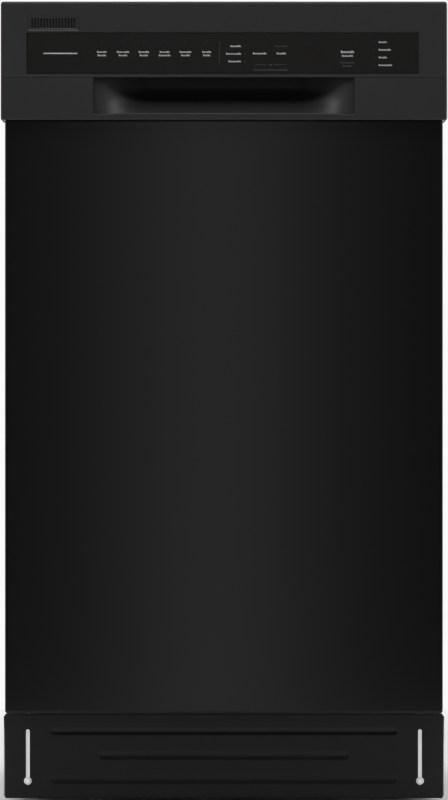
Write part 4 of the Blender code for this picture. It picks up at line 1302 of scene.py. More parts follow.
@dataclass
class Tub:
    """The stainless tub: rounded walls with pressed ribs, a floor round the sump, and a flanged mouth."""

    corner: float = 0.016
    rib: float = 0.0018
    rib_heights: tuple[float, ...] = (0.225, 0.335, 0.505, 0.660)
    rows: int = 70
    half: float = 0.2045
    floor: float = 0.1135
    top: float = 0.772
    sheet: float = 0.0015
    lip: float = 0.004
    sump_radius: float = 0.078
    mat_half: float = 0.190
    mat_front: float = -0.150
    mat_back: float = 0.230
    diamond: float = 0.030
    roller: float = 0.0093
    roller_z: float = 0.572

    def __post_init__(self) -> None:
        """Reads the tub's corners from the frame."""
        self.low, self.high = corners("tub_shell")
        self.front = self.low[1] + GAP

    def mouth(self) -> Array:
        """The mouth flange's outline, whose lower corners are cut away for the hinge arms."""
        half, cut, lift = 0.2185, 0.2068, 0.160
        low, high = self.low[2], self.high[2]
        return np.array((
            (-cut, low), (cut, low), (cut, lift), (half, lift), (half, high), (-half, high), (-half, lift),
            (-cut, lift),
        ))

    def section(self, inset: float) -> Array:
        """The tub's section: a rounded rectangle whose upright sides carry enough points for the ribs.

        Args:
            inset: how far inwards of the walls.
        Returns:
            Flat (x, z) points from the floor's right end round to its left end."""
        low, high = (-self.half + inset, self.floor + inset), (self.half - inset, self.top - inset)
        loop = rounded(low, high, max(self.corner - inset, 0.0005), 5)
        quarter = len(loop) // 4
        share = np.linspace(0, 1, 130)[1:-1, None]
        right = loop[quarter - 1] * (1 - share) + loop[quarter] * share
        left = loop[3 * quarter - 1] * (1 - share) + loop[3 * quarter] * share
        return np.vstack((loop[:quarter], right, loop[quarter:3 * quarter], left, loop[3 * quarter:]))

    def walls(self, shape: Shape) -> Array:
        """Stacks the section from the mouth to the back.

        The side walls press inwards by the rib height where a plateau of height and depth says.

        Args:
            shape: the tub that they join.
        Returns:
            The depths of the rows."""
        loop = self.section(0.0)
        ys = np.linspace(self.front + self.lip, self.high[1] - self.sheet - self.corner, self.rows)
        x, z = loop[:, 0][None, :], loop[:, 1][None, :]
        y = ys[:, None]
        side = smooth(np.abs(x), self.half - 0.004, self.half - 0.0005)
        press = sum(plateau(z, mid - 0.004, mid + 0.004, 0.005) for mid in self.rib_heights)
        depth = side * press * plateau(y, self.front + 0.035, self.high[1] - self.sheet - 0.05, 0.02)
        shape.grid(np.stack((x - np.sign(x) * self.rib * depth, y + 0 * x, z + 0 * y), axis=-1))
        return ys

    def back_wall(self, shape: Shape, start: float) -> None:
        """The rounded rear corner, a flat border and a pressed field.

        Args:
            shape: the tub that it joins.
            start: the depth where the corner starts."""
        rings = [upright(self.section(0.0), start)]
        for t in np.linspace(0.0, math.pi / 2, 6)[1:]:
            loop = self.section(self.corner * (1 - math.cos(t)))
            rings.append(upright(loop, start + self.corner * math.sin(t)))
        shape.loft(rings, ends=False)
        back = self.high[1] - self.sheet
        low, high = rings[-1].min(axis=0)[[0, 2]], rings[-1].max(axis=0)[[0, 2]]
        steps = [
            upright(grown(low, high, -inset, 0.02), back - depth)
            for inset, depth in ((0.030, 0.0), (0.0325, 0.0006), (0.0350, 0.0016), (0.0375, 0.0022))
        ]
        shape.flat(rings[-1], steps[0])
        shape.loft(steps, ends=False)
        shape.add(steps[-1], [list(range(len(steps[-1])))])

    def inside(self) -> None:
        """The walls, the back, the floor with its opening, the lip, the flange and the top shelf."""
        shape = Shape()
        ys = self.walls(shape)
        self.back_wall(shape, ys[-1])
        sump = sum(corners("filter_plate")) / 2
        edge, floor = self.half - self.corner, self.floor
        ground = ((-edge, ys[0], floor), (edge, ys[0], floor), (edge, ys[-1], floor), (-edge, ys[-1], floor))
        shape.flat(np.array(ground), level(circle(sump, self.sump_radius, 48), floor))
        lips = [upright(self.section(-flare), self.front + deep) for deep, flare in rolled(self.lip)]
        shape.loft(lips, ends=False)
        flange = [upright(self.mouth(), y) for y in (self.front, self.front + 0.0011)]
        shape.flat(flange[0], lips[0])
        shape.loft(flange, ends=False)
        top = self.high[2]
        shape.block((-0.2085, self.front + 0.001, top - 0.0016), (0.2085, -0.185, top - 0.0004))
        piece = shape.build("wash_tub", STEEL, toward=(0, -1, 0), sharp=50)
        seat(piece, "cabinet", STEEL, "tub_shell")

    def outside(self) -> None:
        """The tub's outer skin, and the mat on top: its quilting is a product of two slanted sine waves."""
        shell = Shape()
        outline = rounded((-0.2059, 0.1121), (0.2059, 0.7734), 0.0165, 8)
        outer = [upright(outline, y) for y in (self.low[1] + 0.002, self.high[1] - 0.001)]
        shell.grid(np.array([np.roll(ring, 1, axis=0)[1:] for ring in outer]))
        shell.add(outer[1], [list(range(len(outline)))])
        seat(shell.build("tub_outer_skin", STEEL, toward=(0, 1, 0), sharp=50), "cabinet", STEEL)
        x, y = np.meshgrid(
            np.linspace(-self.mat_half, self.mat_half, 153), np.linspace(self.mat_front, self.mat_back, 153)
        )
        waves = np.sin(math.pi * (x + y) / self.diamond) * np.sin(math.pi * (x - y) / self.diamond)
        rim = 0.003
        edge = plateau(x, rim - self.mat_half, self.mat_half - rim, rim)
        edge = edge * plateau(y, self.mat_front + rim, self.mat_back - rim, rim)
        mat = Shape().grid(np.stack((x, y, 0.7737 + edge * (0.0022 + 0.0006 * np.abs(waves))), axis=-1))
        seat(mat.build("top_sound_mat", BITUMEN, toward=(0, 0, 1), sharp=70), "cabinet", BITUMEN)

    def rollers(self) -> None:
        """The rail rollers: a crowned wheel on a riveted axle at each place."""
        r = self.roller
        profile = (
            (0.0, 0.1927), (0.003, 0.1927), (0.003, 0.1935), (r - 0.002, 0.1935), (r, 0.1942), (r, 0.1972),
            (r - 0.002, 0.1982), (0.004, 0.1982), (0.004, 0.2046), (0.0, 0.2046),
        )
        shape = Shape()
        for side in (-1, 1):
            for y in (-0.150, -0.010):
                shape.lathe(mirrored(profile, side), (0, y, self.roller_z), "X", 28)
        seat(shape.build("tub_rail_rollers", PALE), "cabinet", PALE)

    def dress(self) -> None:
        """Makes the tub inside and out, and its rollers."""
        self.inside()
        self.outside()
        self.rollers()


@dataclass
class CabinetPanels:
    """The galvanised sides and back, pressed with shallow fields, their screws, and the front frame."""

    press: float = 0.0028
    ramp: float = 0.007
    sheet: float = 0.0008
    flange: float = 0.010
    groove: float = 0.0015
    strap_half: float = 0.007
    strap_x: float = 0.1995
    strap_low: float = 0.0130
    strap_high: float = 0.0760

    def field(self, across: Array, up: Array, sides: tuple[float, float],
              *heights: tuple[float, float]) -> Array:
        """Pressed fields between two sides, one for each pair of heights.

        Args:
            across: how far along the sheet each point lies.
            up: how high it lies.
            sides: where the fields start and end along the sheet.
            heights: the lowest and highest place of each field.
        Returns:
            1 on the fields' floors and 0 around them."""
        rows = sum(plateau(up, low, high, self.ramp) for low, high in heights)
        return rows * plateau(across, *sides, self.ramp)

    def side(self, name: str, sign: int) -> None:
        """One side: a sheet with two pressed fields, folded inwards at its back and its top.

        Args:
            name: the side's node.
            sign: 1 on the right, -1 on the left."""
        low, high = corners(name)
        outer = high[0] if sign > 0 else -low[0]
        back, top = 0.0015, 0.0012
        y, z = np.meshgrid(
            np.linspace(low[1], high[1] - back, 120), np.linspace(low[2], high[2] - top, 160)
        )
        grooves = sum(plateau(y, mid - self.groove, mid + self.groove, 0.005) for mid in (-0.10, 0.03, 0.16))
        depth = self.field(y, z, (-0.170, 0.235), (0.190, 0.400), (0.455, 0.740)) * (1 - 0.8 * grooves)
        shape = Shape().grid(np.stack((sign * (outer - self.press * depth), y, z), axis=-1))
        fold = [(sign * (outer - inset), high[1] - short) for inset, short in rolled(back)]
        fold = np.array([*fold, (sign * (outer - self.flange), high[1])])
        shape.grid(np.array([level(fold, z) for z in (low[2], high[2] - top)]))
        fold = [(sign * (outer - inset), high[2] - short) for inset, short in rolled(top)]
        fold = np.array([*fold, (sign * (outer - self.flange), high[2])])
        shape.grid(np.array([upright(fold, y) for y in (low[1], high[1] - back)]))
        piece = shape.build(f"{name}_sheet", ZINC, toward=(sign, 0, 0), wall=self.sheet, sharp=50)
        seat(piece, "cabinet", ZINC, name)
        near, far = sorted((sign * 0.2078, sign * 0.2195))
        lug = Shape().block((near, 0.020, 0.125), (far, 0.023, 0.137))
        seat(lug.build(f"{name}_spring_lug", ZINC, ease=0.0005), "cabinet", ZINC)

    def back(self) -> None:
        """The back: one pressed field with three upright swages, held by screws along its edges."""
        low, high = corners("rear_panel")
        x, z = np.meshgrid(np.linspace(low[0], high[0], 140), np.linspace(low[2], high[2], 180))
        swage = sum(plateau(x, mid - 0.004, mid + 0.004, 0.006) for mid in (-0.09, 0.0, 0.09))
        swage = 1 - 0.85 * swage * plateau(z, 0.210, 0.705, 0.010)
        depth = self.press * self.field(x, z, (-0.175, 0.175), (0.170, 0.745)) * swage
        shape = Shape().grid(np.stack((x, high[1] - self.sheet - depth, z), axis=-1))
        piece = shape.build("rear_panel_sheet", ZINC, toward=(0, 1, 0), wall=self.sheet, sharp=50)
        seat(piece, "cabinet", ZINC, "rear_panel")
        screws = Shape()
        head = (
            (0.0, high[1]), (0.0006, high[1]), (0.0008, high[1]), (0.0030, high[1] - 0.0006),
            (0.0040, high[1] - 0.0014), (0.0, high[1] - 0.0014),
        )
        for x_place in (-0.205, 0.205):
            for z_place in np.linspace(0.135, 0.780, 5):
                screws.lathe(head, (x_place, 0, z_place), "Y", 20)
        seat(screws.build("rear_panel_screws", BRIGHT_ZINC), "cabinet", BRIGHT_ZINC)

    def front_frame(self) -> None:
        """The cross rail with its hinge ears, black as painted shade so the gap under the door reads dark,
        and a zinc strap behind each slot of the kick plate, whose glow is a painted highlight.
        """
        # black finish: painted shade in the gap under the door
        eased("base_front_frame", FRAME_BLACK_GAP_SHADE, 0.0003)
        face = corners("toe_kick_panel")[0][1]
        straps = Shape()
        for x in (-self.strap_x, self.strap_x):
            low, high = (x - self.strap_half, self.strap_low), (x + self.strap_half, self.strap_high)
            straps.loft([
                upright(grown(low, high, -inset, 0.003), face + depth)
                for inset, depth in ((0.0, 0.0034), (0.0, 0.0028), (0.0006, 0.0024))
            ])
        # the straps glow: a painted highlight seen through the kick plate's slots
        seat(straps.build("kick_plate_straps", ZINC_PAINTED_GLOW), "cabinet", ZINC_PAINTED_GLOW)

    def dress(self) -> None:
        """Makes the sides, back, strip and front frame."""
        self.side("side_panel_left", -1)
        self.side("side_panel_right", 1)
        self.back()
        eased("top_mounting_strip", ZINC, 0.0003)
        self.front_frame()


@dataclass
class Base:
    """The moulded base tray with stiffening ribs, and its threaded levelling feet."""

    rib_pitch: float = 0.032
    rib: float = 0.0022
    thread_pitch: float = 0.00125
    thread_depth: float = 0.0004
    rod: float = 0.0036
    hexagon: float = 0.0086

    def tray(self) -> None:
        """The tray, with upright ribs along its sides and back and two rolled rims on its back."""
        eased("base_tray", GREY, 0.0008)
        (x0, y0, z0), (x1, y1, z1) = corners("base_tray")
        shape = Shape()
        for side in (-1, 1):
            near, far = sorted((side * (x1 - 0.0005), side * (x1 + 0.0025)))
            for y in np.arange(y0 + 0.016, y1 - 0.010, self.rib_pitch):
                shape.block((near, y, z0 + 0.004), (far, y + self.rib, z1 - 0.012))
        for x in np.arange(x0 + 0.014, x1 - 0.010, self.rib_pitch):
            shape.block((x, y1 - 0.0005, z0 + 0.004), (x + self.rib, y1 + 0.0030, z1 - 0.006))
        for z in (z0 + 0.003, z1 - 0.016):
            shape.block((x0 + 0.002, y1 - 0.0005, z), (x1 - 0.002, y1 + 0.0034, z + 0.0024))
        seat(shape.build("base_tray_ribs", GREY, ease=0.0004), "cabinet", GREY)

    def foot(self, place: str) -> None:
        """A foot: a pad, a hexagon and a rod whose radius is a sine of height over pitch plus the angle."""
        node = f"foot_{place}"
        low, high = corners(node)
        x, y = (low[0] + high[0]) / 2, (low[1] + high[1]) / 2
        pad = (
            (0.0, 0.0), (0.0165, 0.0), (0.0178, 0.0014), (0.0179, 0.0030), (0.0168, 0.0052),
            (0.0130, 0.0066), (0.0105, 0.0085), (0.0, 0.0085),
        )
        shape = Shape().lathe(pad, (x, y, low[2]), "Z", 40)
        angle = np.linspace(0, 2 * math.pi, 36, endpoint=False)
        reach = self.hexagon / np.cos((angle % (math.pi / 3)) - math.pi / 6)
        shape.loft([
            level(circle((x, y), size * reach, 36), low[2] + z)
            for size, z in ((0.97, 0.0084), (1.0, 0.0090), (1.0, 0.0143), (0.97, 0.0149))
        ])
        heights = np.arange(0.0148, high[2] - low[2], self.thread_pitch / 6)
        z, turn = np.meshgrid(heights, np.linspace(0, 2 * math.pi, 18, endpoint=False), indexing="ij")
        reach = self.rod + self.thread_depth * np.sin(2 * math.pi * z / self.thread_pitch + turn)
        shape.loft(np.stack((x + reach * np.cos(turn), y + reach * np.sin(turn), low[2] + z), axis=-1))
        seat(shape.build(f"levelling_{node}", BLACK), node, BLACK, node)

    def dress(self) -> None:
        """Makes the tray and the feet."""
        self.tray()
        for place in PLACES:
            self.foot(place)


@dataclass
class DoorSprings:
    """The two door springs: a close coil with a hook at its back, and a hook wire to the hinge arm."""

    wire: float = 0.0006
    pitch: float = 0.0021
    steps: int = 14
    start: float = -0.186
    end: float = 0.010

    def spring(self, side: str) -> None:
        """A coil: a circle of the coil's radius carried along Y at the pitch, with a wire on its middle line.

        Args:
            side: left or right."""
        node = f"door_spring_{side}"
        low, high = corners(node)
        x, z = (low[0] + high[0]) / 2, (low[2] + high[2]) / 2
        radius = (high[0] - low[0]) / 2 - self.wire
        turns = (self.end - self.start) / self.pitch
        angle = np.arange(0, 2 * math.pi * turns, 2 * math.pi / self.steps)
        along = self.start + self.pitch * angle / (2 * math.pi)
        coil = np.column_stack((x + radius * np.cos(angle), along, z + radius * np.sin(angle)))
        shape = Shape().tube(coil, self.wire, 6)
        hook = ((x + radius, self.end, z), (x, self.end + 0.002, z), (x, high[1], z))
        shape.tube(np.array(hook), self.wire, 8)
        seat(shape.build(f"{node}_coil", ZINC, sharp=60), "cabinet", ZINC, node)
        run = np.linspace(self.start - 0.0005, low[1] + 0.0004, 24)
        path = np.column_stack((np.full(24, x), run, np.full(24, z)))
        wire = Shape().tube(path, self.wire, 8).build(f"{node}_hook", ZINC, sharp=60)
        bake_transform(wire)

    def dress(self) -> None:
        """Makes both springs."""
        self.spring("left")
        self.spring("right")


# Racks


@dataclass
class WireRack:
    """A rack of coated wire: a rim, two hoops, crossing wires that turn up the walls, and rows of tines."""

    low: tuple[float, float, float]
    high: tuple[float, float, float]
    tine_rows: int
    tine_height: float
    rim: float = 0.0026
    wire: float = 0.0016
    pitch: float = 0.030
    tine_pitch: float = 0.0245
    lean: float = 0.009
    corner: float = 0.022
    bend: float = 0.012

    def cage(self) -> Shape:
        """The rim, the hoops and the crossing wires.

        Returns:
            The shape, for the tines to join."""
        shape = Shape()
        (x0, y0, z0), (x1, y1, z1) = self.low, self.high
        loop = rounded((x0 + self.rim, y0 + self.rim), (x1 - self.rim, y1 - self.rim), self.corner, 8)
        shape.tube(level(loop, z1 - self.rim), self.rim, 8, closed=True)
        for share in (0.62, 0.30):
            shape.tube(level(loop, z0 + share * (z1 - z0)), self.wire, 8, closed=True)
        floor, top = z0 + self.wire, z1 - self.rim
        wall, margin = self.rim + 0.0004, self.corner + 0.004
        lengthwise = notch(y0 + wall, y1 - wall, top, floor, self.bend, 6)
        crosswise = notch(x0 + wall, x1 - wall, top, floor + 2 * self.wire, self.bend, 6)
        for x in np.linspace(x0 + margin, x1 - margin, round((x1 - x0) / self.pitch)):
            shape.tube(sideways(lengthwise, x), self.wire, 6)
        for y in np.linspace(y0 + margin, y1 - margin, round((y1 - y0) / self.pitch)):
            shape.tube(upright(crosswise, y), self.wire, 6)
        return shape

    def tines(self, shape: Shape, keep_out: tuple[float, float, float] | None = None) -> None:
        """Rows of leaning tines, each row on a wire of its own.

        Args:
            shape: the rack that they join.
            keep_out: the least x, least y and greatest y of a place that stays free."""
        (x0, y0, z0), (x1, y1, _) = self.low, self.high
        xs = np.linspace(x0 + 0.045, x1 - 0.045, self.tine_rows)
        ys = np.arange(y0 + 0.045, y1 - 0.040, self.tine_pitch)
        x, y = (part.ravel() for part in np.meshgrid(xs, ys))
        if keep_out:
            free = ~((x > keep_out[0]) & (y > keep_out[1]) & (y < keep_out[2]))
            x, y = x[free], y[free]
        feet = np.column_stack((x, y, np.full(len(x), z0 + self.wire)))
        shape.rods(feet, feet + (0, self.lean, self.tine_height), self.wire, 8)
        lift = z0 + 3 * self.wire
        for row in xs:
            inside = keep_out and row > keep_out[0]
            kept = ys[(ys <= keep_out[1]) | (ys >= keep_out[2])] if inside else ys
            start, end = (row, kept.min() - 0.004, lift), (row, kept.max() + 0.004, lift)
            shape.rods(np.array(start), np.array(end), self.wire, 8)


@dataclass
class Racks:
    """Both racks with their rollers, rails and wheels, and the silverware basket."""

    upper_half: float = 0.178
    upper_floor: float = 0.470
    lower_half: float = 0.183
    lower_floor: float = 0.155
    basket_top: float = 0.270
    slat_pitch: float = 0.0075
    wheel_radius: float = 0.018
    hub: float = 0.0036
    spokes: int = 7

    def upper(self) -> None:
        """The upper rack's wires with their tines."""
        low, high = corners("upper_rack")
        half = self.upper_half
        rack = WireRack((-half, low[1], self.upper_floor), (half, high[1] - 0.0015, high[2]), 5, 0.055)
        shape = rack.cage()
        rack.tines(shape)
        seat(shape.build("upper_rack_wires", WIRE), "upper_rack", WIRE, "upper_rack")
        arm_low, arm_high = corners("upper_spray_arm")
        start = (arm_low[1] + arm_high[1]) / 2 - 0.012
        section = rounded((-0.012, 0.4623), (0.012, 0.4705), 0.0035, 5)
        feed = Shape().loft([upright(section, y) for y in (start, high[1])])
        seat(feed.build("upper_rack_feed_tube", GREY, ease=0.0006), "upper_rack", GREY)

    def upper_rollers(self) -> None:
        """The upper rack's rollers, each on a bracket."""
        profile = (
            (0.0, 0.1750), (0.0035, 0.1750), (0.0035, 0.1835), (0.0078, 0.1838), (0.0093, 0.1846),
            (0.0093, 0.1872), (0.0078, 0.1882), (0.0, 0.1882),
        )
        shape = Shape()
        for side in (-1, 1):
            near, far = sorted((side * 0.1735, side * 0.1755))
            for y in (0.020, 0.180):
                shape.lathe(mirrored(profile, side), (0, y, 0.572), "X", 28)
                shape.block((near, y - 0.016, 0.556), (far, y + 0.016, 0.588))
        seat(shape.build("upper_rack_rollers", PALE, ease=0.0004), "upper_rack", PALE)

    def lower(self) -> None:
        """The lower rack's wires, its tines beside the basket, and a clip with an axle at each wheel."""
        low, high = corners("lower_rack")
        half = self.lower_half
        rack = WireRack((-half, low[1], self.lower_floor), (half, high[1], high[2]), 6, 0.075)
        shape = rack.cage()
        rack.tines(shape, keep_out=(0.085, -0.175, 0.075))
        seat(shape.build("lower_rack_wires", WIRE), "lower_rack", WIRE, "lower_rack")
        axle = ((0.0, 0.182), (0.003, 0.182), (0.003, 0.1978), (0.0022, 0.1985), (0.0, 0.1985))
        clips = Shape()
        for place in PLACES:
            centre = sum(corners(f"wheel_{place}")) / 2
            side = math.copysign(1, centre[0])
            near, far = sorted((side * 0.1800, side * 0.1838))
            clips.block((near, centre[1] - 0.008, centre[2] - 0.006), (far, centre[1] + 0.008, 0.180))
            clips.lathe(mirrored(axle, side), (0, centre[1], centre[2]), "X", 20)
            self.wheel(f"wheel_{place}", centre)
        seat(clips.build("lower_rack_wheel_clips", GREY, ease=0.0005), "lower_rack", GREY)

    def wheel(self, node: str, centre: Array) -> None:
        """A wheel: a crowned tyre, a hub, and a web that thickens with the square of a cosine at each spoke.

        Args:
            node: the wheel's node.
            centre: its middle."""
        angle, shares = np.linspace(0, 2 * math.pi, 84, endpoint=False), np.linspace(0, 1, 13)
        turn, share = np.meshgrid(angle, shares, indexing="ij")
        reach = self.hub + (self.wheel_radius - self.hub) * share
        web = 0.0011 + 0.0024 * (0.5 + 0.5 * np.cos(self.spokes * turn)) ** 2
        tyre = 0.0048 - 0.0020 * np.clip((share - 0.9) / 0.1, 0, 1)
        thick = np.where(share < 0.22, 0.0050, np.where(share > 0.80, tyre, web))
        y, z = centre[1] + reach * np.cos(turn), centre[2] + reach * np.sin(turn)
        faces = [np.stack((centre[0] + sign * thick, y, z), axis=-1) for sign in (-1, 1)]
        shape = Shape()
        for face in faces:
            shape.grid(face, wrap_rows=True)
        for at in (0, -1):
            shape.grid(np.array([face[:, at] for face in faces]), wrap_columns=True)
        seat(shape.build(f"rack_{node}", PALE, sharp=40), node, PALE, node)

    def basket(self) -> None:
        """The silverware basket: slats between a base, a waist and a rim, a slotted floor and dividers."""
        low, high = corners("silverware_basket")
        x0, y0, z0 = low
        x1, y1, z1 = high[0], high[1], self.basket_top
        shape = Shape()
        outer = rounded((x0, y0), (x1, y1), 0.005, 4)
        inner = rounded((x0 + 0.002, y0 + 0.002), (x1 - 0.002, y1 - 0.002), 0.003, 4)
        for bottom, top in ((z0, z0 + 0.010), (z0 + 0.052, z0 + 0.057), (z1 - 0.008, z1)):
            band = (level(outer, bottom), level(outer, top), level(inner, top), level(inner, bottom))
            shape.grid(np.array(band), wrap_rows=True, wrap_columns=True)
        foot, head = z0 + 0.004, z1 - 0.004
        for y in np.arange(y0 + 0.006, y1 - 0.006, self.slat_pitch):
            for x in (x0 + 0.0002, x1 - 0.0020):
                shape.block((x, y, foot), (x + 0.0018, y + 0.0028, head))
            shape.block((x0 + 0.001, y, z0 + 0.0002), (x1 - 0.001, y + 0.0030, z0 + 0.0022))
        for x in np.arange(x0 + 0.006, x1 - 0.006, self.slat_pitch):
            for y in (y0 + 0.0002, y1 - 0.0020):
                shape.block((x, y, foot), (x + 0.0028, y + 0.0018, head))
        middle = (y0 + y1) / 2
        for y in (middle, y0 + (y1 - y0) / 4, y1 - (y1 - y0) / 4):
            shape.block((x0 + 0.001, y - 0.001, z0 + 0.001), (x1 - 0.001, y + 0.001, z1 - 0.002))
        seat(shape.build("cutlery_basket", GREY, ease=0.0003), "silverware_basket", GREY, "silverware_basket")
        across = np.linspace(-1, 1, 31)
        rise = z1 + (high[2] - 0.004 - z1) * (1 - across ** 4)
        arch = np.column_stack((np.full(31, (x0 + x1) / 2), middle + 0.045 * across, rise))
        handle = Shape().tube(arch, 0.0038, 12)
        seat(handle.build("cutlery_basket_handle", GREY, sharp=60), "silverware_basket", GREY)

    def dress(self) -> None:
        """Makes both racks, the rails and the basket."""
        self.upper()
        self.upper_rollers()
        self.lower()
        eased("upper_rail_left", STEEL, 0.0004)
        eased("upper_rail_right", STEEL, 0.0004)
        self.basket()


# Water path


@dataclass
class SprayArm:
    """A spray arm: a lens-shaped blade that tapers and twists a little, a hub, and nozzles on both sides."""

    node: str
    blade_z: float
    nozzles: int
    hub: float = 0.016
    thickness: float = 0.0056
    twist: float = 0.06

    def blade(self, centre: Array, reach: float, half: float) -> Array:
        """The blade's rings: ellipses whose width tapers as 1 - 0.45 s^2 and closes at the tip.

        Args:
            centre: the hub's middle.
            reach: half the blade's length.
            half: half its width.
        Returns:
            (rings, points, 3) points."""
        s = np.linspace(-1, 1, 97)[:, None]
        turn = np.linspace(0, 2 * math.pi, 32, endpoint=False)[None, :]
        tip = np.sqrt(np.clip(1 - np.abs(s) ** 14, 0.0004, 1))
        width = (half - 0.001) * (1 - 0.45 * s ** 2) * tip
        thick = self.thickness * (1 - 0.25 * s ** 2) * tip
        lean = self.twist * s
        a, b = width * np.cos(turn), thick * np.sign(np.sin(turn)) * np.abs(np.sin(turn)) ** 0.8
        return np.stack((
            centre[0] + reach * s + 0 * turn, centre[1] + a * np.cos(lean) - b * np.sin(lean),
            self.blade_z + a * np.sin(lean) + b * np.cos(lean),
        ), axis=-1)

    def dress(self) -> None:
        """Makes the blade, the hub and the nozzles."""
        low, high = corners(self.node)
        centre = (low + high) / 2
        reach, half = (high[0] - low[0]) / 2, (high[1] - low[1]) / 2
        shape = Shape().loft(self.blade(centre, reach, half))
        r, bottom, top = self.hub, low[2] + 0.0001, high[2] - 0.0004
        hub = (
            (0.0, bottom), (r - 0.002, bottom), (r, low[2] + 0.002), (r, high[2] - 0.003), (r - 0.003, top),
            (0.0, top),
        )
        shape.lathe(hub, (centre[0], centre[1], 0), "Z", 36)
        nozzle = ((0.0010, 0.0004), (0.0012, 0.0012), (0.0024, 0.0012), (0.0030, -0.0012))
        for index in range(self.nozzles):
            for side in (-1, 1):
                place = side * (0.24 + 0.66 * index / (self.nozzles - 1))
                across = side * (0.25 if index % 2 else -0.25) * half
                rise = self.blade_z + 0.0050 * (1 - 0.25 * place ** 2)
                shape.lathe(nozzle, (centre[0] + reach * place, centre[1] + across, rise), "Z", 14)
        seat(shape.build(f"{self.node}_blade", GREY, sharp=50), self.node, GREY, self.node)


@dataclass
class Filters:
    """The strainer plate with its rings of holes, and the twist-out filter of fine mesh."""

    pitch: float = 0.0058
    hole: float = 0.0014
    well: float = 0.0332
    clear_of_well: float = 0.0375
    clear_of_post: float = 0.014
    screen_wire: float = 0.0003

    def plate(self) -> None:
        """A disc with holes on rings round the sump's middle, except near the filter, the post or the rim."""
        low, high = corners("filter_plate")
        centre = (low + high) / 2
        radius, top = (high[0] - low[0]) / 2, low[2] + 0.002
        well = sum(corners("filter_cylinder"))[:2] / 2
        post = sum(corners("lower_spray_arm"))[:2] / 2
        holes = [circle(well, self.well, 48)]
        for ring in range(3, 14):
            reach = ring * self.pitch
            for turn in np.arange(0, 2 * math.pi, self.pitch / reach):
                place = centre[:2] + reach * np.array((math.cos(turn), math.sin(turn)))
                off_well, off_post = np.hypot(*(place - well)), np.hypot(*(place - post))
                if off_well > self.clear_of_well and off_post > self.clear_of_post and reach < radius - 0.008:
                    holes.append(circle(place, self.hole, 8))
        face = level(circle(centre, radius - 0.0006, 72), top)
        shape = Shape().flat(face, *[level(hole, top) for hole in holes])
        edge = circle(centre, radius, 72)
        shape.loft([face, level(edge, top - 0.0006), level(edge, low[2])], ends=False)
        piece = shape.build("strainer_plate", STEEL, toward=(0, 0, 1), wall=0.0006)
        seat(piece, "cabinet", STEEL, "filter_plate")
        column = (
            (0.0, top - 0.001), (0.0125, top - 0.001), (0.0120, top + 0.0008), (0.0090, top + 0.003),
            (0.0088, high[2]), (0.0, high[2]),
        )
        stand = Shape().lathe(column, (post[0], post[1], 0), "Z", 32)
        seat(stand.build("spray_arm_post", GREY), "cabinet", GREY)

    def cup(self) -> None:
        """The filter's body: two rings, two floors, twelve upright bars and the turning bar."""
        low, high = corners("filter_cylinder")
        middle = (low + high)[:2] / 2
        radius = (high[1] - low[1]) / 2
        place = (middle[0], middle[1], 0)
        shape = Shape()
        inner, outer = radius - 0.0035, radius - 0.0006
        for bottom, top in ((0.0520, 0.0580), (0.0960, 0.1165)):
            ring = (
                (inner, bottom), (outer, bottom), (radius, bottom + 0.0008), (radius, top - 0.0008),
                (outer, top), (inner, top), (inner, bottom),
            )
            shape.lathe(ring, place, "Z", 56)
        for bottom, top in ((0.0522, 0.0540), (0.0985, 0.1000)):
            disc = ((0.0, bottom), (radius - 0.002, bottom), (radius - 0.002, top), (0.0, top))
            shape.lathe(disc, place, "Z", 40)
        feet = level(circle(middle, radius - 0.002, 12), 0.056)
        shape.rods(feet, feet + (0, 0, 0.042), 0.0014, 6)
        bar = np.array((0.0295, 0.003))
        shape.loft([
            level(grown(middle - bar, middle + bar, by, 0.002), z)
            for by, z in ((0.0, 0.0995), (0.0, high[2] - 0.001), (-0.0008, high[2]))
        ])
        seat(shape.build("filter_cup", GREY), "filter_cylinder", GREY, "filter_cylinder")

    def screen(self) -> None:
        """The fine screen inside the filter: upright wires crossed by hoops."""
        low, high = corners("filter_cylinder")
        loop = circle((low + high)[:2] / 2, (high[1] - low[1]) / 2 - 0.0038, 90)
        shape = Shape()
        feet = level(loop, 0.0545)
        shape.rods(feet, feet + (0, 0, 0.043), self.screen_wire, 4)
        for z in np.arange(0.0560, 0.0970, 0.0025):
            shape.tube(level(loop[::3], z), self.screen_wire, 4, closed=True)
        seat(shape.build("filter_screen", STEEL), "filter_cylinder", STEEL)

    def dress(self) -> None:
        """Makes the plate, the cup and its screen."""
        self.plate()
        self.cup()
        self.screen()


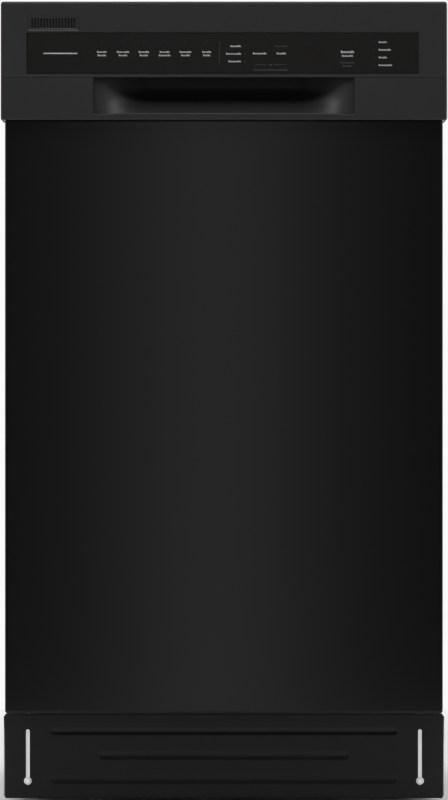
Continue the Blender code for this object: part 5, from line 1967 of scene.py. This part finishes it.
@dataclass
class Pumps:
    """The sump, pumps, valve and junction box, with the fins, windings and terminals that they carry."""

    fin_pitch: float = 0.0042
    coil_pitch: float = 0.0036

    def bodies(self) -> None:
        """The bodies with rounded edges."""
        for node in ("sump", "circulation_pump", "drain_pump"):
            eased(node, GREY, 0.0008)
        eased("inlet_valve", PALE, 0.0010)
        eased("junction_box", ZINC, 0.0010)
        eased("spray_feed_pipe", GREY, 0.0020)

    def dress(self) -> None:
        """Makes the bodies, then turned bands along both motors and the valve's three terminals."""
        self.bodies()
        low, high = corners("circulation_pump")
        x, _, z = (low + high) / 2
        fins = Shape()
        for y in np.arange(low[1] + 0.048, low[1] + 0.100, self.fin_pitch):
            fin = (
                (0.0300, y), (0.0322, y), (0.0326, y + 0.0005), (0.0326, y + 0.0019), (0.0322, y + 0.0024),
                (0.0300, y + 0.0024),
            )
            fins.lathe(fin, (x, 0, z), "Y", 40)
        seat(fins.build("wash_motor_fins", ZINC), "cabinet", ZINC)
        low, high = corners("drain_pump")
        _, y, z = (low + high) / 2
        coil = Shape()
        for x in np.arange(low[0] + 0.028, low[0] + 0.056, self.coil_pitch):
            turn = (
                (0.0185, x), (0.0200, x), (0.0204, x + 0.0010), (0.0200, x + 0.0020), (0.0185, x + 0.0020),
            )
            coil.lathe(turn, (0, y, z), "X", 32)
        seat(coil.build("drain_motor_coil", BLACK), "cabinet", BLACK)
        low, high = corners("inlet_valve")
        back, top = high[1] - 0.014, high[2]
        terminals = Shape()
        for x in low[0] + np.array((0.012, 0.022, 0.032)):
            terminals.block((x, back, top - 0.0004), (x + 0.0045, back + 0.0008, top + 0.007))
        seat(terminals.build("valve_terminals", BRIGHT_ZINC, ease=0.0002), "cabinet", BRIGHT_ZINC)


# Studio


@dataclass
class Studio:
    """The pale floor, the soft lights, the white surroundings and the camera."""

    distance: float = 5.0
    frame_height: float = 0.802
    eye_height: float = 0.4073
    floor_half: float = 1.3

    def floor(self) -> None:
        """A pale floor with rounded corners, just under the feet."""
        loop = rounded((-self.floor_half, -self.floor_half), (self.floor_half, self.floor_half), 0.3, 12)
        finish = Finish(
            "pale_floor", "light_plastic", (0.86, 0.86, 0.855), 0.7, scale=30, mottle=0.012, spread=0.03,
        )
        piece = Shape().loft([level(loop, -0.02), level(loop, -0.0006)]).build("studio_floor", finish)

    def lamp(self, name: str, place: Sequence[float], aim: Sequence[float], size: tuple[float, float],
             power: float) -> None:
        """Adds a soft rectangular lamp that the camera doesn't see.

        Args:
            name: the lamp's name.
            place: where it hangs.
            aim: the point that it faces.
            size: its width and height.
            power: in watts."""
        light = bpy.data.lights.new(name, "AREA")
        light.shape = "RECTANGLE"
        light.size, light.size_y = size
        light.energy = power
        lamp = bpy.data.objects.new(name, light)
        lamp.location = place
        lamp.rotation_euler = (Vector(aim) - Vector(place)).to_track_quat("-Z", "Y").to_euler()
        lamp.visible_camera = False
        bpy.context.scene.collection.objects.link(lamp)

    def lights(self) -> None:
        """A tall narrow strip in front, which the door mirrors, a large soft box overhead, and weak fills."""
        self.lamp("front_strip", (-0.02, -5.4, 0.41), (-0.02, -0.28, 0.41), (0.16, 6.0), 8.0)
        self.lamp("top_softbox", (0.0, -1.5, 2.6), (0, -0.1, 0.3), (2.2, 1.4), 22.0)
        self.lamp("left_high", (-1.6, -1.8, 2.4), (0, -0.28, 0.7), (0.7, 0.7), 15.0)
        self.lamp("right_high", (1.6, -1.8, 2.4), (0, -0.28, 0.7), (0.7, 0.7), 12.0)
        self.lamp("left_fill", (-2.6, -2.2, 1.3), (0, 0, 0.4), (1.2, 1.8), 3.0)
        self.lamp("right_fill", (2.6, -2.2, 1.3), (0, 0, 0.4), (1.2, 1.8), 3.0)
        self.lamp("back_fill", (0.0, 2.8, 1.6), (0, 0, 0.4), (2.0, 1.6), 34.0)

    def surroundings(self) -> None:
        """White where the camera sees past the object, and a grey that dims towards the front elsewhere."""
        world = bpy.data.worlds.new("studio_white")
        world.use_nodes = True
        tree = world.node_tree
        seen = tree.nodes.new("ShaderNodeLightPath")
        dim = tree.nodes["Background"]
        dim.inputs["Color"].default_value = (1.0, 1.0, 1.0, 1.0)
        toward = tree.nodes.new("ShaderNodeTexCoord")
        parts = tree.nodes.new("ShaderNodeSeparateXYZ")
        tree.links.new(toward.outputs["Generated"], parts.inputs["Vector"])
        fade = tree.nodes.new("ShaderNodeMapRange")
        fade.interpolation_type = "SMOOTHSTEP"
        fade.inputs["From Min"].default_value = -0.60
        fade.inputs["From Max"].default_value = 0.25
        fade.inputs["To Min"].default_value = 0.035
        fade.inputs["To Max"].default_value = 0.60
        tree.links.new(parts.outputs["Y"], fade.inputs["Value"])
        tree.links.new(fade.outputs["Result"], dim.inputs["Strength"])
        white = tree.nodes.new("ShaderNodeBackground")
        white.inputs["Strength"].default_value = 0.955
        white.inputs["Color"].default_value = (1.0, 1.0, 1.0, 1.0)
        choose = tree.nodes.new("ShaderNodeMixShader")
        tree.links.new(seen.outputs["Is Camera Ray"], choose.inputs["Fac"])
        tree.links.new(dim.outputs["Background"], choose.inputs[1])
        tree.links.new(white.outputs["Background"], choose.inputs[2])
        tree.links.new(choose.outputs["Shader"], tree.nodes["World Output"].inputs["Surface"])
        bpy.context.scene.world = world
        bpy.context.scene.view_settings.view_transform = "Standard"

    def camera(self) -> None:
        """A long lens, level and square to the door, as far off as its frame height needs."""
        lens = bpy.data.cameras.new("front_camera")
        lens.sensor_fit = "VERTICAL"
        lens.sensor_height = 36.0
        lens.lens = 36.0 * self.distance / self.frame_height
        lens.clip_end = 50.0
        camera = bpy.data.objects.new("front_camera", lens)
        camera.location = (0.0001, CAD_BOX[0][1] - self.distance, self.eye_height)
        camera.rotation_euler = (math.pi / 2, 0.0, 0.0)
        bpy.context.scene.collection.objects.link(camera)
        bpy.context.scene.camera = camera

    def dress(self) -> None:
        """Sets up the whole studio."""
        self.camera()
        self.surroundings()
        self.floor()
        self.lights()


# Solids that only need rounded edges, with their finish and the width of the rounding

PLAIN_SOLIDS: dict[str, tuple[Finish, float]] = {
    "door_bottom_seal": (RUBBER, 0.0005),
    "latch_housing": (GREY, 0.0006),
    "latch_hook": (PALE, 0.0004),
    "hinge_arm_left": (ZINC, 0.0004),
    "hinge_arm_right": (ZINC, 0.0004),
    "striker": (ZINC, 0.0004),
    **{name: (GREY, 0.0003) for name in BODY_OF if name.startswith("key_")},
}


def main() -> None:
    """Builds every sub-assembly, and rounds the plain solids."""
    logging.basicConfig(level=logging.INFO, format="%(message)s")
    Studio().dress()
    parts = (
        Console(), HandlePocket(), ControlStrip(), DoorPanel(), KickPlate(), DoorLiner(), Dispenser(),
        Board(), Gasket(), Tub(), CabinetPanels(), Base(), DoorSprings(), Racks(),
        SprayArm("lower_spray_arm", 0.136, 6), SprayArm("upper_spray_arm", 0.452, 5), Filters(), Pumps(),
    )
    for part in parts:
        part.dress()
        LOG.info("%s is done", type(part).__name__)
    for node, (finish, width) in PLAIN_SOLIDS.items():
        eased(node, finish, width)


if __name__ == "__main__":
    main()
